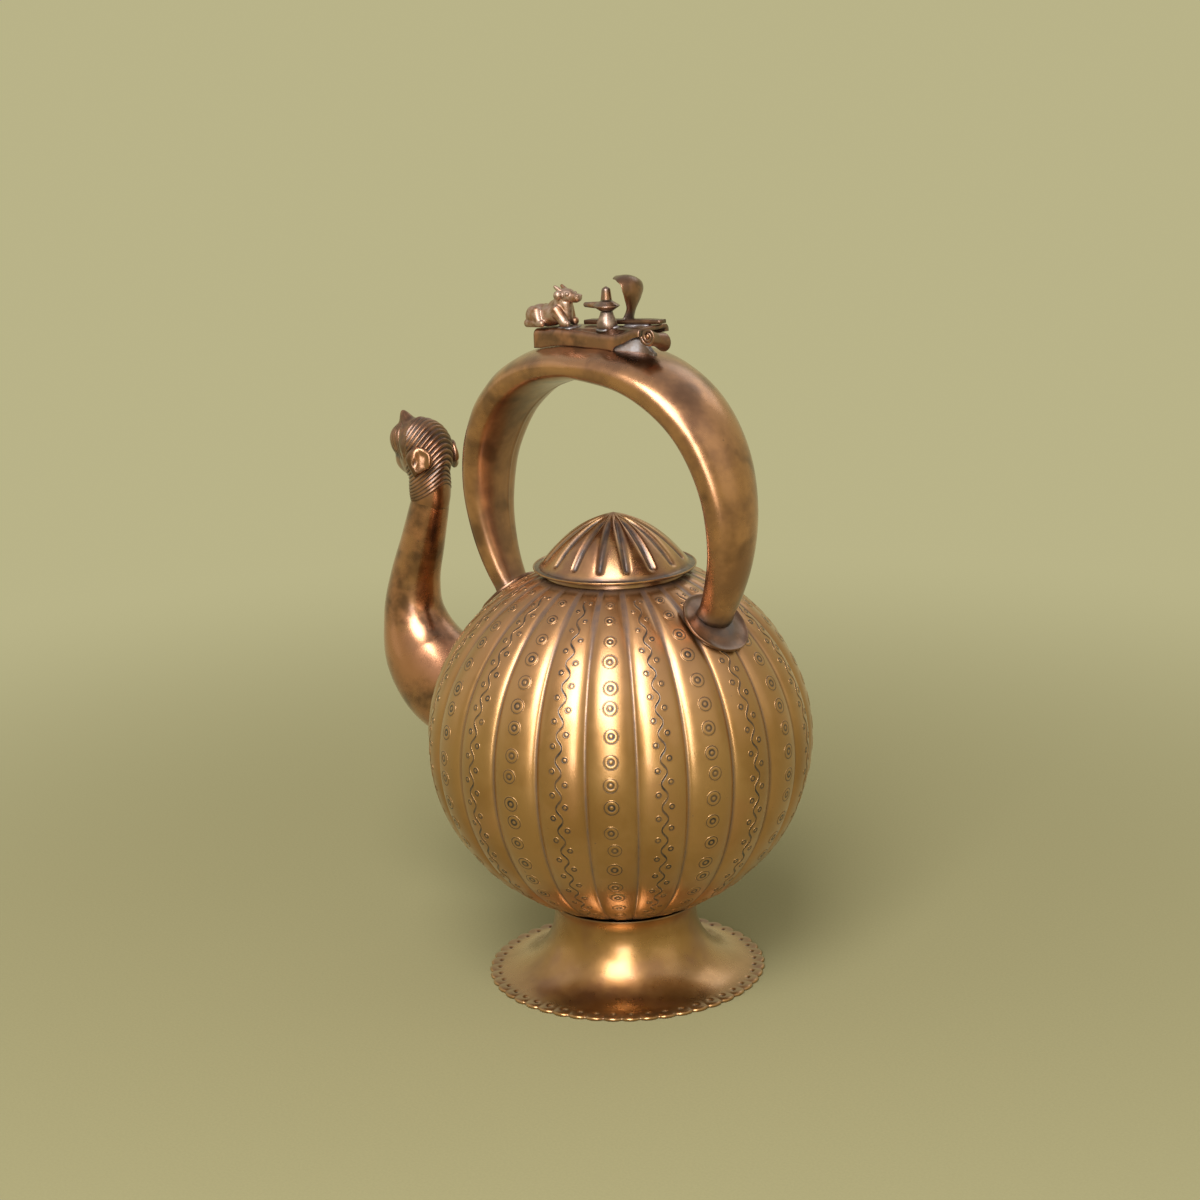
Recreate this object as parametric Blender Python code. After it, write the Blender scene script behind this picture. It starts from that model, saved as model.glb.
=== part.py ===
"""Spouted ritual water vessel: lobed pot on a scalloped foot, fluted lid, fixed arch handle with figures.

Metres, +Z up. The pot's axis is vertical, the spout points to -X, and the handle's arch is in the XZ plane.
"""

import math

import bmesh
import bpy
import numpy as np
from mathutils import Matrix

# Fits
GAP = 0.0003
SLEEVE_CLEARANCE = 0.0006

# Pot: an ellipsoid of revolution with lobes, seated on the foot
BODY_R = 0.085
BODY_HALF_HEIGHT = 0.0805
BODY_WALL = 0.002
LOBES = 24
LOBE_DEPTH = 0.003
MOUTH_R = 0.031

# Foot
FOOT_HEIGHT = 0.0345
FOOT_NECK_R = 0.033
FOOT_WAIST_R = 0.0318
FOOT_RIM_R = 0.0623
FOOT_RIM_HEIGHT = 0.0011
FOOT_REST_WIDTH = 0.0045
FOOT_WALL = 0.002
FOOT_WAIST_SHARE = 0.82
FOOT_FLARE_SHARE = 0.9
FOOT_HOLLOW_TURN = math.radians(70)
SCALLOPS = 48
SCALLOP_DEPTH = 0.0011

# Mouth and lid
COLLAR_RISE = 0.0026
COLLAR_HEIGHT = 0.008
COLLAR_WALL = 0.0016
SLEEVE_DEPTH = 0.007
SLEEVE_WALL = 0.0016
LID_HEIGHT = 0.0240
LID_WALL = 0.0016
LID_BRIM_R = 0.0357
LID_BEAD = 0.0011
LID_SKIRT_R = 0.0330
LID_SKIRT_HEIGHT = 0.0018
LID_DOME_R = 0.0312
LID_DOME_RISE = 0.0025
LID_POINT = 0.32
LID_CURVE = 2.6
FLUTES = 16
FLUTE_DEPTH = 0.0016
FLUTE_TURN = math.radians(5.25)

# Spout: (distance out from the pot's widest circle, height from its centre, radius)
SPOUT_PATH = (
    (-0.0100, 0.0010, 0.0195),
    (0.0150, 0.0050, 0.0218),
    (0.0320, 0.0195, 0.0198),
    (0.0390, 0.0375, 0.0146),
    (0.0375, 0.0545, 0.0118),
    (0.0312, 0.0735, 0.0102),
    (0.0250, 0.0930, 0.0088),
)
SPOUT_WALL = 0.0018
SPOUT_SINK = 0.012

# Beast head, measured from the centre of the spout's end
SKULL_X = 0.0005
SKULL_Z = 0.0225
SKULL_LONG = 0.0132
SKULL_WIDE = 0.0120
SKULL_HIGH = 0.0152
POUR_BORE_R = 0.0042
POUR_HEIGHT = 0.0215
POUR_OUT_R = 0.0038
POUR_CEILING = 0.0034
POUR_START = 0.001
POUR_REACH = 0.04
MANE_RIDGES = 9
MANE_PITCH = 0.0026
MANE_RIDGE_R = 0.0013

# Handle: polar outline about a point above the pot, broad on top and round at its feet
HANDLE_SHIFT = -0.0041
HANDLE_RISE = 0.1145
HANDLE_R = 0.06885
HANDLE_FLATTEN = -0.01656
HANDLE_SQUASH = 0.0009
HANDLE_POINT = -0.00157
HANDLE_THICK = 0.0146
HANDLE_THICK_GROWTH = 0.0168
HANDLE_THICK_FALL = 0.0198
HANDLE_WIDTH = 0.0481
HANDLE_WIDTH_FALL = 0.0184
HANDLE_WIDTH_CURVE = 0.0144
HANDLE_SPAN = 2.4
PLATE_R = 0.0155
PLATE_SIDE = 0.002
PLATE_DROP = 0.0028
PLATE_THICK = 0.0014
PLATE_RIM_RISE = 0.0014
PLATE_DISH = 0.92

# Platform on the handle, tilted up towards the scroll
SADDLE_CLEAR = 0.0080
PLATFORM_TILT = math.radians(4)
SADDLE_BACK = 0.0331
SADDLE_FRONT = 0.0253
SADDLE_SWEEP = 0.0145
SADDLE_HALF_WIDTH = 0.010
SADDLE_FLANGE = 0.0083
SADDLE_SHEET = 0.002
SADDLE_EDGE = 0.003
SADDLE_CORNER = 0.0009
SWEEP_LIFT = 0.94
SCROLL_R = 0.0044
SCROLL_DROP = 0.0033
SCROLL_SKEW = 0.0018
SCROLL_SHEET = 0.0011
SCROLL_TURNS = 1.6
SCROLL_CORE_R = 0.0015
SCROLL_LENGTH = 0.010
SOLDER_LENGTH = 0.0145

# Figures, from the handle's crown
FIGURE_SIDE = -0.0032
BULL_NOSE = 0.0184
BULL_CLEAR = 0.0010
STRIP_BACK = 0.0138
STRIP_FRONT = 0.0272
STRIP_SIDE = 0.004
STRIP_HALF_WIDTH = 0.003
STRIP_THICK = 0.002
STACK_X = 0.0027
PEDESTAL_R = 0.0039
PEDESTAL_SHOULDER_R = 0.0036
PEDESTAL_TOP_R = 0.0027
PEDESTAL_HEIGHT = 0.0057
PEDESTAL_SHOULDER = 0.45
DISH_R = 0.0057
DISH_LIP = 0.0069
DISH_LIP_SPREAD = 0.26
DISH_LIP_THICK = 0.0020
DISH_RIM_THICK = 0.0006
DISH_HEIGHT = 0.0043
DISH_SEAT_R = 0.0027
LINGAM_R = 0.0024
LINGAM_TIP_R = 0.0016
LINGAM_HEIGHT = 0.0058
COBRA_X = 0.0093
COBRA_HEIGHT = 0.0178
COBRA_HOOD_HALF_WIDTH = 0.0070
COBRA_THICK = 0.0018
COBRA_CUP = 0.22
# (forward, share of the height, share of the hood's width)
COBRA_LINE = (
    (0.0, 0.0, 0.43),
    (0.0012, 0.22, 0.42),
    (0.0026, 0.45, 0.8),
    (0.0036, 0.66, 1.0),
    (0.0022, 0.88, 0.84),
    (-0.0018, 0.96, 0.48),
    (-0.0070, 0.87, 0.10),
)

# Bull's rounded forms, from the point under its middle: (centre, half axes, pitch)
BULL_FORMS = (
    ((-0.0058, 0, 0.0045), (0.0060, 0.0050, 0.0048), 0.0),
    ((0.0035, 0, 0.0048), (0.0080, 0.0047, 0.0048), 0.0),
    ((-0.0010, 0, 0.0030), (0.0075, 0.0048, 0.0036), 0.0),
    ((0.0035, 0, 0.0078), (0.0040, 0.0028, 0.0026), 0.0),
    ((0.0072, 0, 0.0094), (0.0038, 0.0032, 0.0052), 0.25),
    ((0.0118, 0, 0.0126), (0.0054, 0.0031, 0.0029), 0.2),
    ((0.0162, 0, 0.0115), (0.0022, 0.0020, 0.0017), 0.2),
    ((-0.0106, 0, 0.0036), (0.0014, 0.0013, 0.0034), 0.0),
)
BULL_SIDE_FORMS = (
    ((0.0050, 0.0020, 0.0150), (0.0010, 0.0010, 0.0018), -0.5),
    ((0.0058, 0.0037, 0.0130), (0.0014, 0.0020, 0.0012), 0.0),
    ((0.0092, 0.0036, 0.0034), (0.0046, 0.0017, 0.0017), 0.65),
    ((0.0126, 0.0037, 0.0009), (0.0016, 0.0014, 0.0011), 0.0),
    ((-0.0055, 0.0040, 0.0038), (0.0044, 0.0023, 0.0038), 0.0),
    ((-0.0038, 0.0050, 0.0011), (0.0048, 0.0016, 0.0014), 0.0),
)

# Beast head's rounded forms, from the centre of the spout's end: (centre, half axes, pitch)
HEAD_FORMS = (
    ((-0.0110, 0, 0.0285), (0.0105, 0.0085, 0.0085), 0.25),
    ((-0.0135, 0, 0.0355), (0.0034, 0.0034, 0.0046), 0.3),
    ((-0.0105, 0, 0.0155), (0.0100, 0.0070, 0.0048), 0.1),
    ((0.0005, 0, 0.0080), (0.0104, 0.0100, 0.0120), 0.0),
)
HEAD_SIDE_FORMS = (
    ((0.0030, 0.0128, 0.0200), (0.0042, 0.0024, 0.0070), 0.35),
    ((-0.0090, 0.0064, 0.0325), (0.0030, 0.0024, 0.0024), 0.0),
)
MANE_TOP = math.radians(115)
MANE_END = math.radians(-35)

# Mesh fineness
LOBE_STEPS = 4
FLUTE_STEPS = 4
SCALLOP_STEPS = 3
TUBE_SIDES = 18
HANDLE_SIDES = 14
FIGURE_VOXEL = 0.0007
FIGURE_KEEP = 0.07
HEAD_VOXEL = 0.0008
HEAD_KEEP = 0.046
BODY_RINGS = 15
HOLLOW_RINGS = 7
POLE_STEP = math.radians(6)
FOOT_RINGS = 5
HOLLOW_FOOT_RINGS = 4
SPOUT_RINGS = 16
HANDLE_RINGS = 33
SLEEVE_SIDES = 36
PLATE_SIDES = 22
TURNED_SIDES = 28
COBRA_RINGS = 16
COBRA_SIDES = 12
MANE_STEPS = 18
SCROLL_STEPS = 28
SADDLE_RINGS = 12
SWEEP_RINGS = 6
EDGE_STEPS = 4

# Places that follow from the sizes
BODY_Z = FOOT_HEIGHT + GAP + BODY_HALF_HEIGHT * math.sqrt(1 - (FOOT_NECK_R / BODY_R) ** 2)
LIP_R = MOUTH_R + BODY_WALL
LIP_Z = BODY_Z + BODY_HALF_HEIGHT * math.sqrt(1 - (LIP_R / BODY_R) ** 2)
SEAT_Z = LIP_Z + COLLAR_RISE
COLLAR_R = MOUTH_R - GAP
SLEEVE_R = COLLAR_R - COLLAR_WALL - SLEEVE_CLEARANCE
HANDLE_Z = BODY_Z + HANDLE_RISE
CROWN_Z = HANDLE_Z + HANDLE_R + HANDLE_FLATTEN + HANDLE_SQUASH + HANDLE_POINT + HANDLE_THICK / 2
PLATFORM_Z = CROWN_Z + SADDLE_CLEAR
PLATFORM_SLOPE = math.tan(PLATFORM_TILT)
STRIP_Z = PLATFORM_Z + GAP
STACK_Z = PLATFORM_Z + PLATFORM_SLOPE * (STACK_X + PEDESTAL_R) + GAP
DISH_Z = STACK_Z + PEDESTAL_HEIGHT + GAP
LINGAM_Z = DISH_Z + DISH_HEIGHT + GAP
COBRA_Z = STRIP_Z + STRIP_THICK + PLATFORM_SLOPE * (COBRA_X + COBRA_THICK) + GAP
BULL_X = STACK_X - (DISH_R + DISH_LIP + BULL_CLEAR + BULL_NOSE)
SPOUT_END_X = -(BODY_R + SPOUT_PATH[-1][0])
SPOUT_END_Z = BODY_Z + SPOUT_PATH[-1][1]


def clear_scene():
    for obj in list(bpy.data.objects):
        bpy.data.objects.remove(obj)


def metal(name, colour, roughness):
    made = bpy.data.materials.new(name)
    made.use_nodes = True
    shader = made.node_tree.nodes["Principled BSDF"]
    shader.inputs["Base Color"].default_value = (*colour, 1)
    shader.inputs["Metallic"].default_value = 1
    shader.inputs["Roughness"].default_value = roughness
    return made


def add_object(name, mesh, finish, root):
    mesh.materials.append(finish)
    mesh.shade_smooth()
    obj = bpy.data.objects.new(name, mesh)
    obj.parent = root
    bpy.context.scene.collection.objects.link(obj)
    return obj


def add_tilted(name, mesh, finish, root):
    """Piece that lies on the tilted platform."""
    pivot = Matrix.Translation((0, 0, PLATFORM_Z))
    mesh.transform(pivot @ Matrix.Rotation(-PLATFORM_TILT, 4, "Y") @ pivot.inverted())
    return add_object(name, mesh, finish, root)


def add_cutter(name, mesh, root):
    obj = bpy.data.objects.new(name, mesh)
    obj.parent = root
    obj.hide_render = True
    obj.display_type = "WIRE"
    bpy.context.scene.collection.objects.link(obj)
    return obj


def cut(obj, cutter):
    boolean = obj.modifiers.new(cutter.name, "BOOLEAN")
    boolean.operation = "DIFFERENCE"
    boolean.solver = "EXACT"
    boolean.object = cutter


def loft(name, rings, start=None, end=None, ring_shaped=False):
    """Skin through rings of equal count: closed on itself, or capped at each end round a centre point."""
    rings = [np.asarray(ring, float) for ring in rings]
    count = len(rings[0])
    made = bmesh.new()
    rows = [[made.verts.new(point) for point in ring] for ring in rings]
    pairs = list(zip(rows, rows[1:]))
    if ring_shaped:
        pairs.append((rows[-1], rows[0]))
    for low, high in pairs:
        for i in range(count):
            j = (i + 1) % count
            made.faces.new((low[i], low[j], high[j], high[i]))
    if not ring_shaped:
        for row, ring, tip in ((rows[0], rings[0], start), (rows[-1], rings[-1], end)):
            centre = made.verts.new(ring.mean(axis=0) if tip is None else tip)
            for i in range(count):
                made.faces.new((row[i], row[(i + 1) % count], centre))
    bmesh.ops.recalc_face_normals(made, faces=made.faces)
    mesh = bpy.data.meshes.new(name)
    made.to_mesh(mesh)
    made.free()
    return mesh


def turned_ring(radius, z, angles):
    radius = np.broadcast_to(radius, angles.shape)
    return np.stack([radius * np.cos(angles), radius * np.sin(angles), np.full(angles.shape, z)], axis=-1)


def full_turn(count):
    return np.arange(count) * 2 * math.pi / count


def body_height(radius):
    """Height above the pot's centre of its crests at a radius."""
    return BODY_HALF_HEIGHT * math.sqrt(max(0.0, 1 - (radius / BODY_R) ** 2))


def body_shell(finish, root):
    angles = full_turn(LOBES * LOBE_STEPS)
    across = 2 * ((angles * LOBES / (2 * math.pi)) % 1) - 1
    hollow_r = BODY_R - LOBE_DEPTH - BODY_WALL
    hollow_half = BODY_HALF_HEIGHT - BODY_WALL
    top = math.acos(LIP_R / BODY_R)
    rings = []
    for lat in np.linspace(POLE_STEP - math.pi / 2, top, BODY_RINGS):
        radius = math.cos(lat) * (BODY_R - LOBE_DEPTH * across**2)
        rings.append(turned_ring(radius, BODY_Z + BODY_HALF_HEIGHT * math.sin(lat), angles))
    rings.append(turned_ring(MOUTH_R, LIP_Z, angles))
    for lat in np.linspace(math.acos(MOUTH_R / hollow_r), POLE_STEP - math.pi / 2, HOLLOW_RINGS):
        z = BODY_Z + hollow_half * math.sin(lat)
        rings.append(turned_ring(hollow_r * math.cos(lat), z, angles))
    mesh = loft(
        "body",
        rings,
        start=(0, 0, BODY_Z - BODY_HALF_HEIGHT),
        end=(0, 0, BODY_Z - hollow_half),
    )
    return add_object("body", mesh, finish, root)


def foot_profile(turn):
    """Radius, height and normal of the trumpet's outer face at a turn from its waist to its rim."""
    flare = FOOT_FLARE_SHARE * (FOOT_RIM_R - FOOT_WAIST_R)
    waist_z = FOOT_WAIST_SHARE * FOOT_HEIGHT
    drop = waist_z - FOOT_RIM_HEIGHT
    radius = FOOT_WAIST_R + flare * (1 - math.cos(turn))
    normal = np.array((drop * math.cos(turn), flare * math.sin(turn)))
    return radius, waist_z - drop * math.sin(turn), normal / np.linalg.norm(normal)


def foot(finish, root):
    """Trumpet with a scalloped rim, open below and above; its wall thins towards the rim."""
    angles = full_turn(SCALLOPS * SCALLOP_STEPS)
    wave = (1 + np.cos(angles * SCALLOPS)) / 2
    neck_in = FOOT_NECK_R - FOOT_WALL
    top_out = BODY_Z - body_height(FOOT_NECK_R) - GAP
    top_in = BODY_Z - body_height(neck_in) - GAP
    rings = [turned_ring(FOOT_NECK_R, top_out, angles)]
    for turn in np.linspace(0, math.pi / 2, FOOT_RINGS)[:-1]:
        radius, z, _ = foot_profile(turn)
        rings.append(turned_ring(radius, z, angles))
    edge = FOOT_RIM_R - SCALLOP_DEPTH * wave
    rings.append(turned_ring(edge, FOOT_RIM_HEIGHT, angles))
    rings.append(turned_ring(edge, 0.0, angles))
    rings.append(turned_ring(FOOT_RIM_R - FOOT_REST_WIDTH, 0.0, angles))
    for turn in np.linspace(FOOT_HOLLOW_TURN, 0, HOLLOW_FOOT_RINGS):
        radius, z, normal = foot_profile(turn)
        wall = FOOT_WALL + (FOOT_RIM_HEIGHT - FOOT_WALL) * turn / (math.pi / 2)
        rings.append(turned_ring(radius - wall * normal[0], z - wall * normal[1], angles))
    rings.append(turned_ring(neck_in, top_in, angles))
    return add_object("foot", loft("foot", rings, ring_shaped=True), finish, root)


def sleeve(name, outer, wall, low, high, finish, root):
    angles = full_turn(SLEEVE_SIDES)
    corners = ((outer, low), (outer, high), (outer - wall, high), (outer - wall, low))
    rings = [turned_ring(radius, z, angles) for radius, z in corners]
    return add_object(name, loft(name, rings, ring_shaped=True), finish, root)


def dome_share(share):
    """Height of the lid's ogee at a share of its radius: pointed at the tip and steep at the rim."""
    return 1 - LID_POINT * share - (1 - LID_POINT) * share**LID_CURVE


def lid(finish, root):
    """Ogee dome with grooves, in a flared brim with a beaded edge, hollow below."""
    angles = full_turn(FLUTES * FLUTE_STEPS)
    groove = np.where(np.arange(len(angles)) % FLUTE_STEPS == 0, 1.0, 0.0)
    turned = angles + FLUTE_TURN
    dome_z = SEAT_Z + LID_DOME_RISE
    rise = SEAT_Z + LID_HEIGHT - dome_z
    hollow_r = SLEEVE_R - SLEEVE_WALL
    rings = []
    for share in (0.06, 0.16, 0.3, 0.45, 0.6, 0.75, 0.88, 1.0):
        slope = dome_share(share)
        depth = FLUTE_DEPTH * math.sin(math.pi * min(1.0, share**0.7)) * groove
        rings.append(turned_ring(LID_DOME_R * share - depth, dome_z + rise * slope, turned))
    rings.append(turned_ring(LID_SKIRT_R, SEAT_Z + LID_SKIRT_HEIGHT, turned))
    rings.append(turned_ring(LID_BRIM_R, SEAT_Z + LID_BEAD, turned))
    rings.append(turned_ring(LID_BRIM_R, SEAT_Z, turned))
    rings.append(turned_ring(hollow_r, SEAT_Z, turned))
    for share in (0.8, 0.5, 0.2):
        z = dome_z + rise * dome_share(share) - FLUTE_DEPTH - LID_WALL
        rings.append(turned_ring(hollow_r * share, max(z, SEAT_Z + LID_WALL), turned))
    mesh = loft(
        "lid",
        rings,
        start=(0, 0, SEAT_Z + LID_HEIGHT),
        end=(0, 0, SEAT_Z + LID_HEIGHT - 2 * LID_WALL - FLUTE_DEPTH),
    )
    return add_object("lid", mesh, finish, root)


def smooth_curve(points, count):
    """Catmull-Rom curve through points, read at equal steps of its parameter."""
    points = np.asarray(points, float)
    padded = np.vstack([2 * points[0] - points[1], points, 2 * points[-1] - points[-2]])
    places = np.linspace(0, len(points) - 1, count)
    found = []
    for place in places:
        k = min(int(place), len(points) - 2)
        t = place - k
        a, b, c, d = padded[k : k + 4]
        square = (2 * a - 5 * b + 4 * c - d) * t**2
        cube = (3 * b - a - 3 * c + d) * t**3
        found.append((2 * b + (c - a) * t + square + cube) / 2)
    return np.array(found)


def spout_rings(grow, steps, extend=0.0):
    """Circles square to the spout's centre line, but level at its end and upright at its root."""
    path = [(-(BODY_R + out), BODY_Z + up, radius) for out, up, radius in SPOUT_PATH]
    line = smooth_curve(path, steps)
    line[0, 0] += extend
    heading = np.gradient(line[:, :2], axis=0)
    heading /= np.linalg.norm(heading, axis=1)[:, None]
    heading[0] = (-1, 0)
    heading[-1] = (0, 1)
    angles = full_turn(TUBE_SIDES)
    rings = []
    for (x, z, radius), (along, up) in zip(line, heading):
        side = (radius + grow) * np.cos(angles)
        across = (radius + grow) * np.sin(angles)
        rings.append(np.stack([x - up * side, across, z + along * side], axis=-1))
    return rings


def spout(finish, root):
    outer = spout_rings(0.0, SPOUT_RINGS)
    inner = spout_rings(-SPOUT_WALL, SPOUT_RINGS)[::-1]
    return add_object("spout", loft("spout", outer + inner, ring_shaped=True), finish, root)


def spout_hole(root):
    mesh = loft("spout_hole", spout_rings(GAP, SPOUT_RINGS, extend=SPOUT_SINK))
    return add_cutter("spout_hole", mesh, root)


def ball(made, centre, half_axes, pitch=0.0):
    """Ellipsoid added to a mesh that is being made, tipped about Y by the pitch."""
    found = bmesh.ops.create_icosphere(made, subdivisions=3, radius=1.0)["verts"]
    turn = np.array(
        [[math.cos(pitch), 0, math.sin(pitch)], [0, 1, 0], [-math.sin(pitch), 0, math.cos(pitch)]]
    )
    for vert in found:
        vert.co = turn @ (np.array(vert.co) * half_axes) + centre


def flat_base(mesh, z):
    """Cut everything under a level and close the cut."""
    made = bmesh.new()
    made.from_mesh(mesh)
    parts = made.verts[:] + made.edges[:] + made.faces[:]
    bmesh.ops.bisect_plane(made, geom=parts, plane_co=(0, 0, z), plane_no=(0, 0, 1), clear_inner=True)
    bmesh.ops.holes_fill(made, edges=[edge for edge in made.edges if edge.is_boundary])
    bmesh.ops.triangulate(made, faces=made.faces)
    bmesh.ops.recalc_face_normals(made, faces=made.faces)
    made.to_mesh(mesh)
    made.free()


def casting(name, balls, voxel, keep, base_z):
    """One smooth mesh from overlapping balls, with a flat base."""
    made = bmesh.new()
    for centre, half_axes, pitch in balls:
        ball(made, np.array(centre), np.array(half_axes), pitch)
    rough = bpy.data.meshes.new(name + "_rough")
    made.to_mesh(rough)
    made.free()
    draft = bpy.data.objects.new(name + "_draft", rough)
    bpy.context.scene.collection.objects.link(draft)
    remesh = draft.modifiers.new("Fuse", "REMESH")
    remesh.mode = "VOXEL"
    remesh.voxel_size = voxel
    thin = draft.modifiers.new("Thin", "DECIMATE")
    thin.ratio = keep
    graph = bpy.context.evaluated_depsgraph_get()
    mesh = bpy.data.meshes.new_from_object(draft.evaluated_get(graph))
    bpy.data.objects.remove(draft)
    flat_base(mesh, base_z)
    return mesh


def placed(forms, side_forms, x, y, z):
    """Forms moved to a point, and the side ones on both sides of it."""
    left = [((cx, -cy, cz), half, pitch) for (cx, cy, cz), half, pitch in side_forms]
    every = [*forms, *side_forms, *left]
    return [((x + cx, y + cy, z + cz), half, pitch) for (cx, cy, cz), half, pitch in every]


def bull(finish, root):
    """Reclining bull with its head raised towards the lingam."""
    z = PLATFORM_Z + GAP
    balls = placed(BULL_FORMS, BULL_SIDE_FORMS, BULL_X, FIGURE_SIDE, z)
    return add_tilted("bull", casting("bull", balls, FIGURE_VOXEL, FIGURE_KEEP, z), finish, root)


def head_balls():
    skull = ((SKULL_X, 0, SKULL_Z), (SKULL_LONG, SKULL_WIDE, SKULL_HIGH), 0.0)
    return placed((skull, *HEAD_FORMS), HEAD_SIDE_FORMS, SPOUT_END_X, 0, SPOUT_END_Z)


def mane_balls():
    """Ridges side by side, each a row of balls from the crown over the back of the skull to the nape."""
    balls = []
    for k in range(MANE_RIDGES):
        y = (k - (MANE_RIDGES - 1) / 2) * MANE_PITCH
        inset = math.sqrt(max(0.0, 1 - (y / SKULL_WIDE) ** 2))
        for turn in np.linspace(MANE_TOP, MANE_END, MANE_STEPS):
            x = SPOUT_END_X + SKULL_X + SKULL_LONG * inset * math.cos(turn)
            z = SPOUT_END_Z + SKULL_Z + SKULL_HIGH * inset * math.sin(turn)
            balls.append(((x, y, z), (MANE_RIDGE_R,) * 3, 0.0))
    return balls


def rod(name, start, end, radius, root):
    start = np.array(start)
    end = np.array(end)
    axis = (end - start) / np.linalg.norm(end - start)
    side = np.cross(axis, (0, 1, 0))
    angles = full_turn(TUBE_SIDES)[:, None]
    circle = radius * (np.cos(angles) * side + np.sin(angles) * np.array((0, 1, 0)))
    return add_cutter(name, loft(name, [start + circle, end + circle]), root)


def beast_head(finish, root):
    """Cast head with the pouring way: up from the spout, then out through the mouth."""
    base = SPOUT_END_Z + GAP
    balls = head_balls() + mane_balls()
    obj = add_object("beast_head", casting("beast_head", balls, HEAD_VOXEL, HEAD_KEEP, base), finish, root)
    bend = SPOUT_END_Z + POUR_HEIGHT
    below = (SPOUT_END_X, 0, SPOUT_END_Z - POUR_BORE_R)
    above = (SPOUT_END_X, 0, bend + POUR_CEILING)
    outside = (SPOUT_END_X - POUR_REACH, 0, bend)
    cut(obj, rod("pour_up", below, above, POUR_BORE_R, root))
    cut(obj, rod("pour_out", (SPOUT_END_X + POUR_START, 0, bend), outside, POUR_OUT_R, root))
    return obj


def handle_line(turn):
    """Centre, outward direction and half sizes of the handle at an angle from its crown."""
    radius = HANDLE_R + HANDLE_FLATTEN * math.cos(turn)
    radius += HANDLE_SQUASH * math.cos(2 * turn) + HANDLE_POINT * math.cos(3 * turn)
    x = HANDLE_SHIFT + radius * math.sin(turn)
    centre = np.array((x, 0.0, HANDLE_Z + radius * math.cos(turn)))
    share = abs(turn) / HANDLE_SPAN
    thick = HANDLE_THICK + HANDLE_THICK_GROWTH * share - HANDLE_THICK_FALL * share**2
    width = HANDLE_WIDTH - HANDLE_WIDTH_FALL * share - HANDLE_WIDTH_CURVE * share**2
    return centre, thick / 2, width / 2


def handle_direction(turn):
    step = 1e-4
    along = handle_line(turn + step)[0] - handle_line(turn - step)[0]
    along /= np.linalg.norm(along)
    return along, np.array((-along[2], 0.0, along[0]))


def body_level(point):
    """Over 1 outside the pot's crests, under 1 inside."""
    out = (point[0] ** 2 + point[1] ** 2) / BODY_R**2
    return out + ((point[2] - BODY_Z) / BODY_HALF_HEIGHT) ** 2


def body_normal(point):
    squares = np.array((BODY_R, BODY_R, BODY_HALF_HEIGHT)) ** 2
    normal = (point - np.array((0, 0, BODY_Z))) / squares
    return normal / np.linalg.norm(normal)


def pot_point(point):
    """The nearest point of the pot's crests along the line to its centre."""
    centre = np.array((0.0, 0.0, BODY_Z))
    return centre + (point - centre) / math.sqrt(body_level(point))


def where_zero(value, low, high):
    for _ in range(50):
        middle = (low + high) / 2
        if value(low) * value(middle) <= 0:
            high = middle
        else:
            low = middle
    return (low + high) / 2


def handle_foot(side):
    """Angle where the handle's centre line meets the pot, that point and the pot's normal there."""
    turn = where_zero(lambda t: body_level(handle_line(side * t)[0]) - 1, 1.2, 3.0)
    point = handle_line(side * turn)[0]
    return side * turn, point, body_normal(point)


def handle_end(side):
    """Angle of the handle's end, and the plane that it ends on: the top of its plate, less a gap."""
    turn, point, normal = handle_foot(side)
    level = point + normal * (2 * GAP + PLATE_THICK)
    ahead = side * where_zero(lambda t: (handle_line(side * t)[0] - level) @ normal, 1.2, abs(turn))
    return ahead, level, normal


def handle_ring(turn):
    centre, half_thick, half_width = handle_line(turn)
    _, outward = handle_direction(turn)
    angles = full_turn(HANDLE_SIDES)[:, None]
    across = half_width * np.sin(angles) * np.array((0, 1, 0))
    return centre + half_thick * np.cos(angles) * outward + across


def handle(finish, root):
    first, first_level, first_normal = handle_end(-1)
    last, last_level, last_normal = handle_end(1)
    turns = np.linspace(first, last, HANDLE_RINGS)
    rings = [handle_ring(turn) for turn in turns]
    for index, level, normal in ((0, first_level, first_normal), (-1, last_level, last_normal)):
        along, _ = handle_direction(turns[index])
        move = ((level - rings[index]) @ normal) / (along @ normal)
        rings[index] = rings[index] + move[:, None] * along
    return add_object("handle", loft("handle", rings), finish, root)


def handle_plate(name, side, off_centre, finish, root):
    """Round dished plate that follows the pot's shoulder, with a raised rim."""
    _, meeting, normal = handle_foot(side)
    across = np.array((0.0, 1.0, 0.0))
    down = np.array((side * normal[2], 0.0, -abs(normal[0])))
    point = pot_point(meeting + PLATE_DROP * down - off_centre * across)
    normal = body_normal(point)
    down = np.cross(across, normal) * side
    down /= np.linalg.norm(down)
    across = np.cross(normal, down)
    angles = full_turn(PLATE_SIDES)

    def lifted(radius, height):
        flat = point + radius * (np.cos(angles)[:, None] * across + np.sin(angles)[:, None] * down)
        on_pot = np.array([pot_point(spot) for spot in flat])
        return on_pot + height * np.array([body_normal(spot) for spot in on_pot])

    top = GAP + PLATE_THICK
    rim = top + PLATE_RIM_RISE
    edge_in = PLATE_R - PLATE_THICK / 2
    hub = PLATE_DISH / 2
    rings = [
        lifted(PLATE_R * hub, GAP),
        lifted(PLATE_R - PLATE_THICK, GAP),
        lifted(PLATE_R, (GAP + rim) / 2),
        lifted(PLATE_R, rim),
        lifted(edge_in, rim),
        lifted(PLATE_R * PLATE_DISH, top),
        lifted(PLATE_R * hub, top),
    ]
    mesh = loft(name, rings, start=point + GAP * normal, end=point + top * normal)
    return add_object(name, mesh, finish, root)


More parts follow.
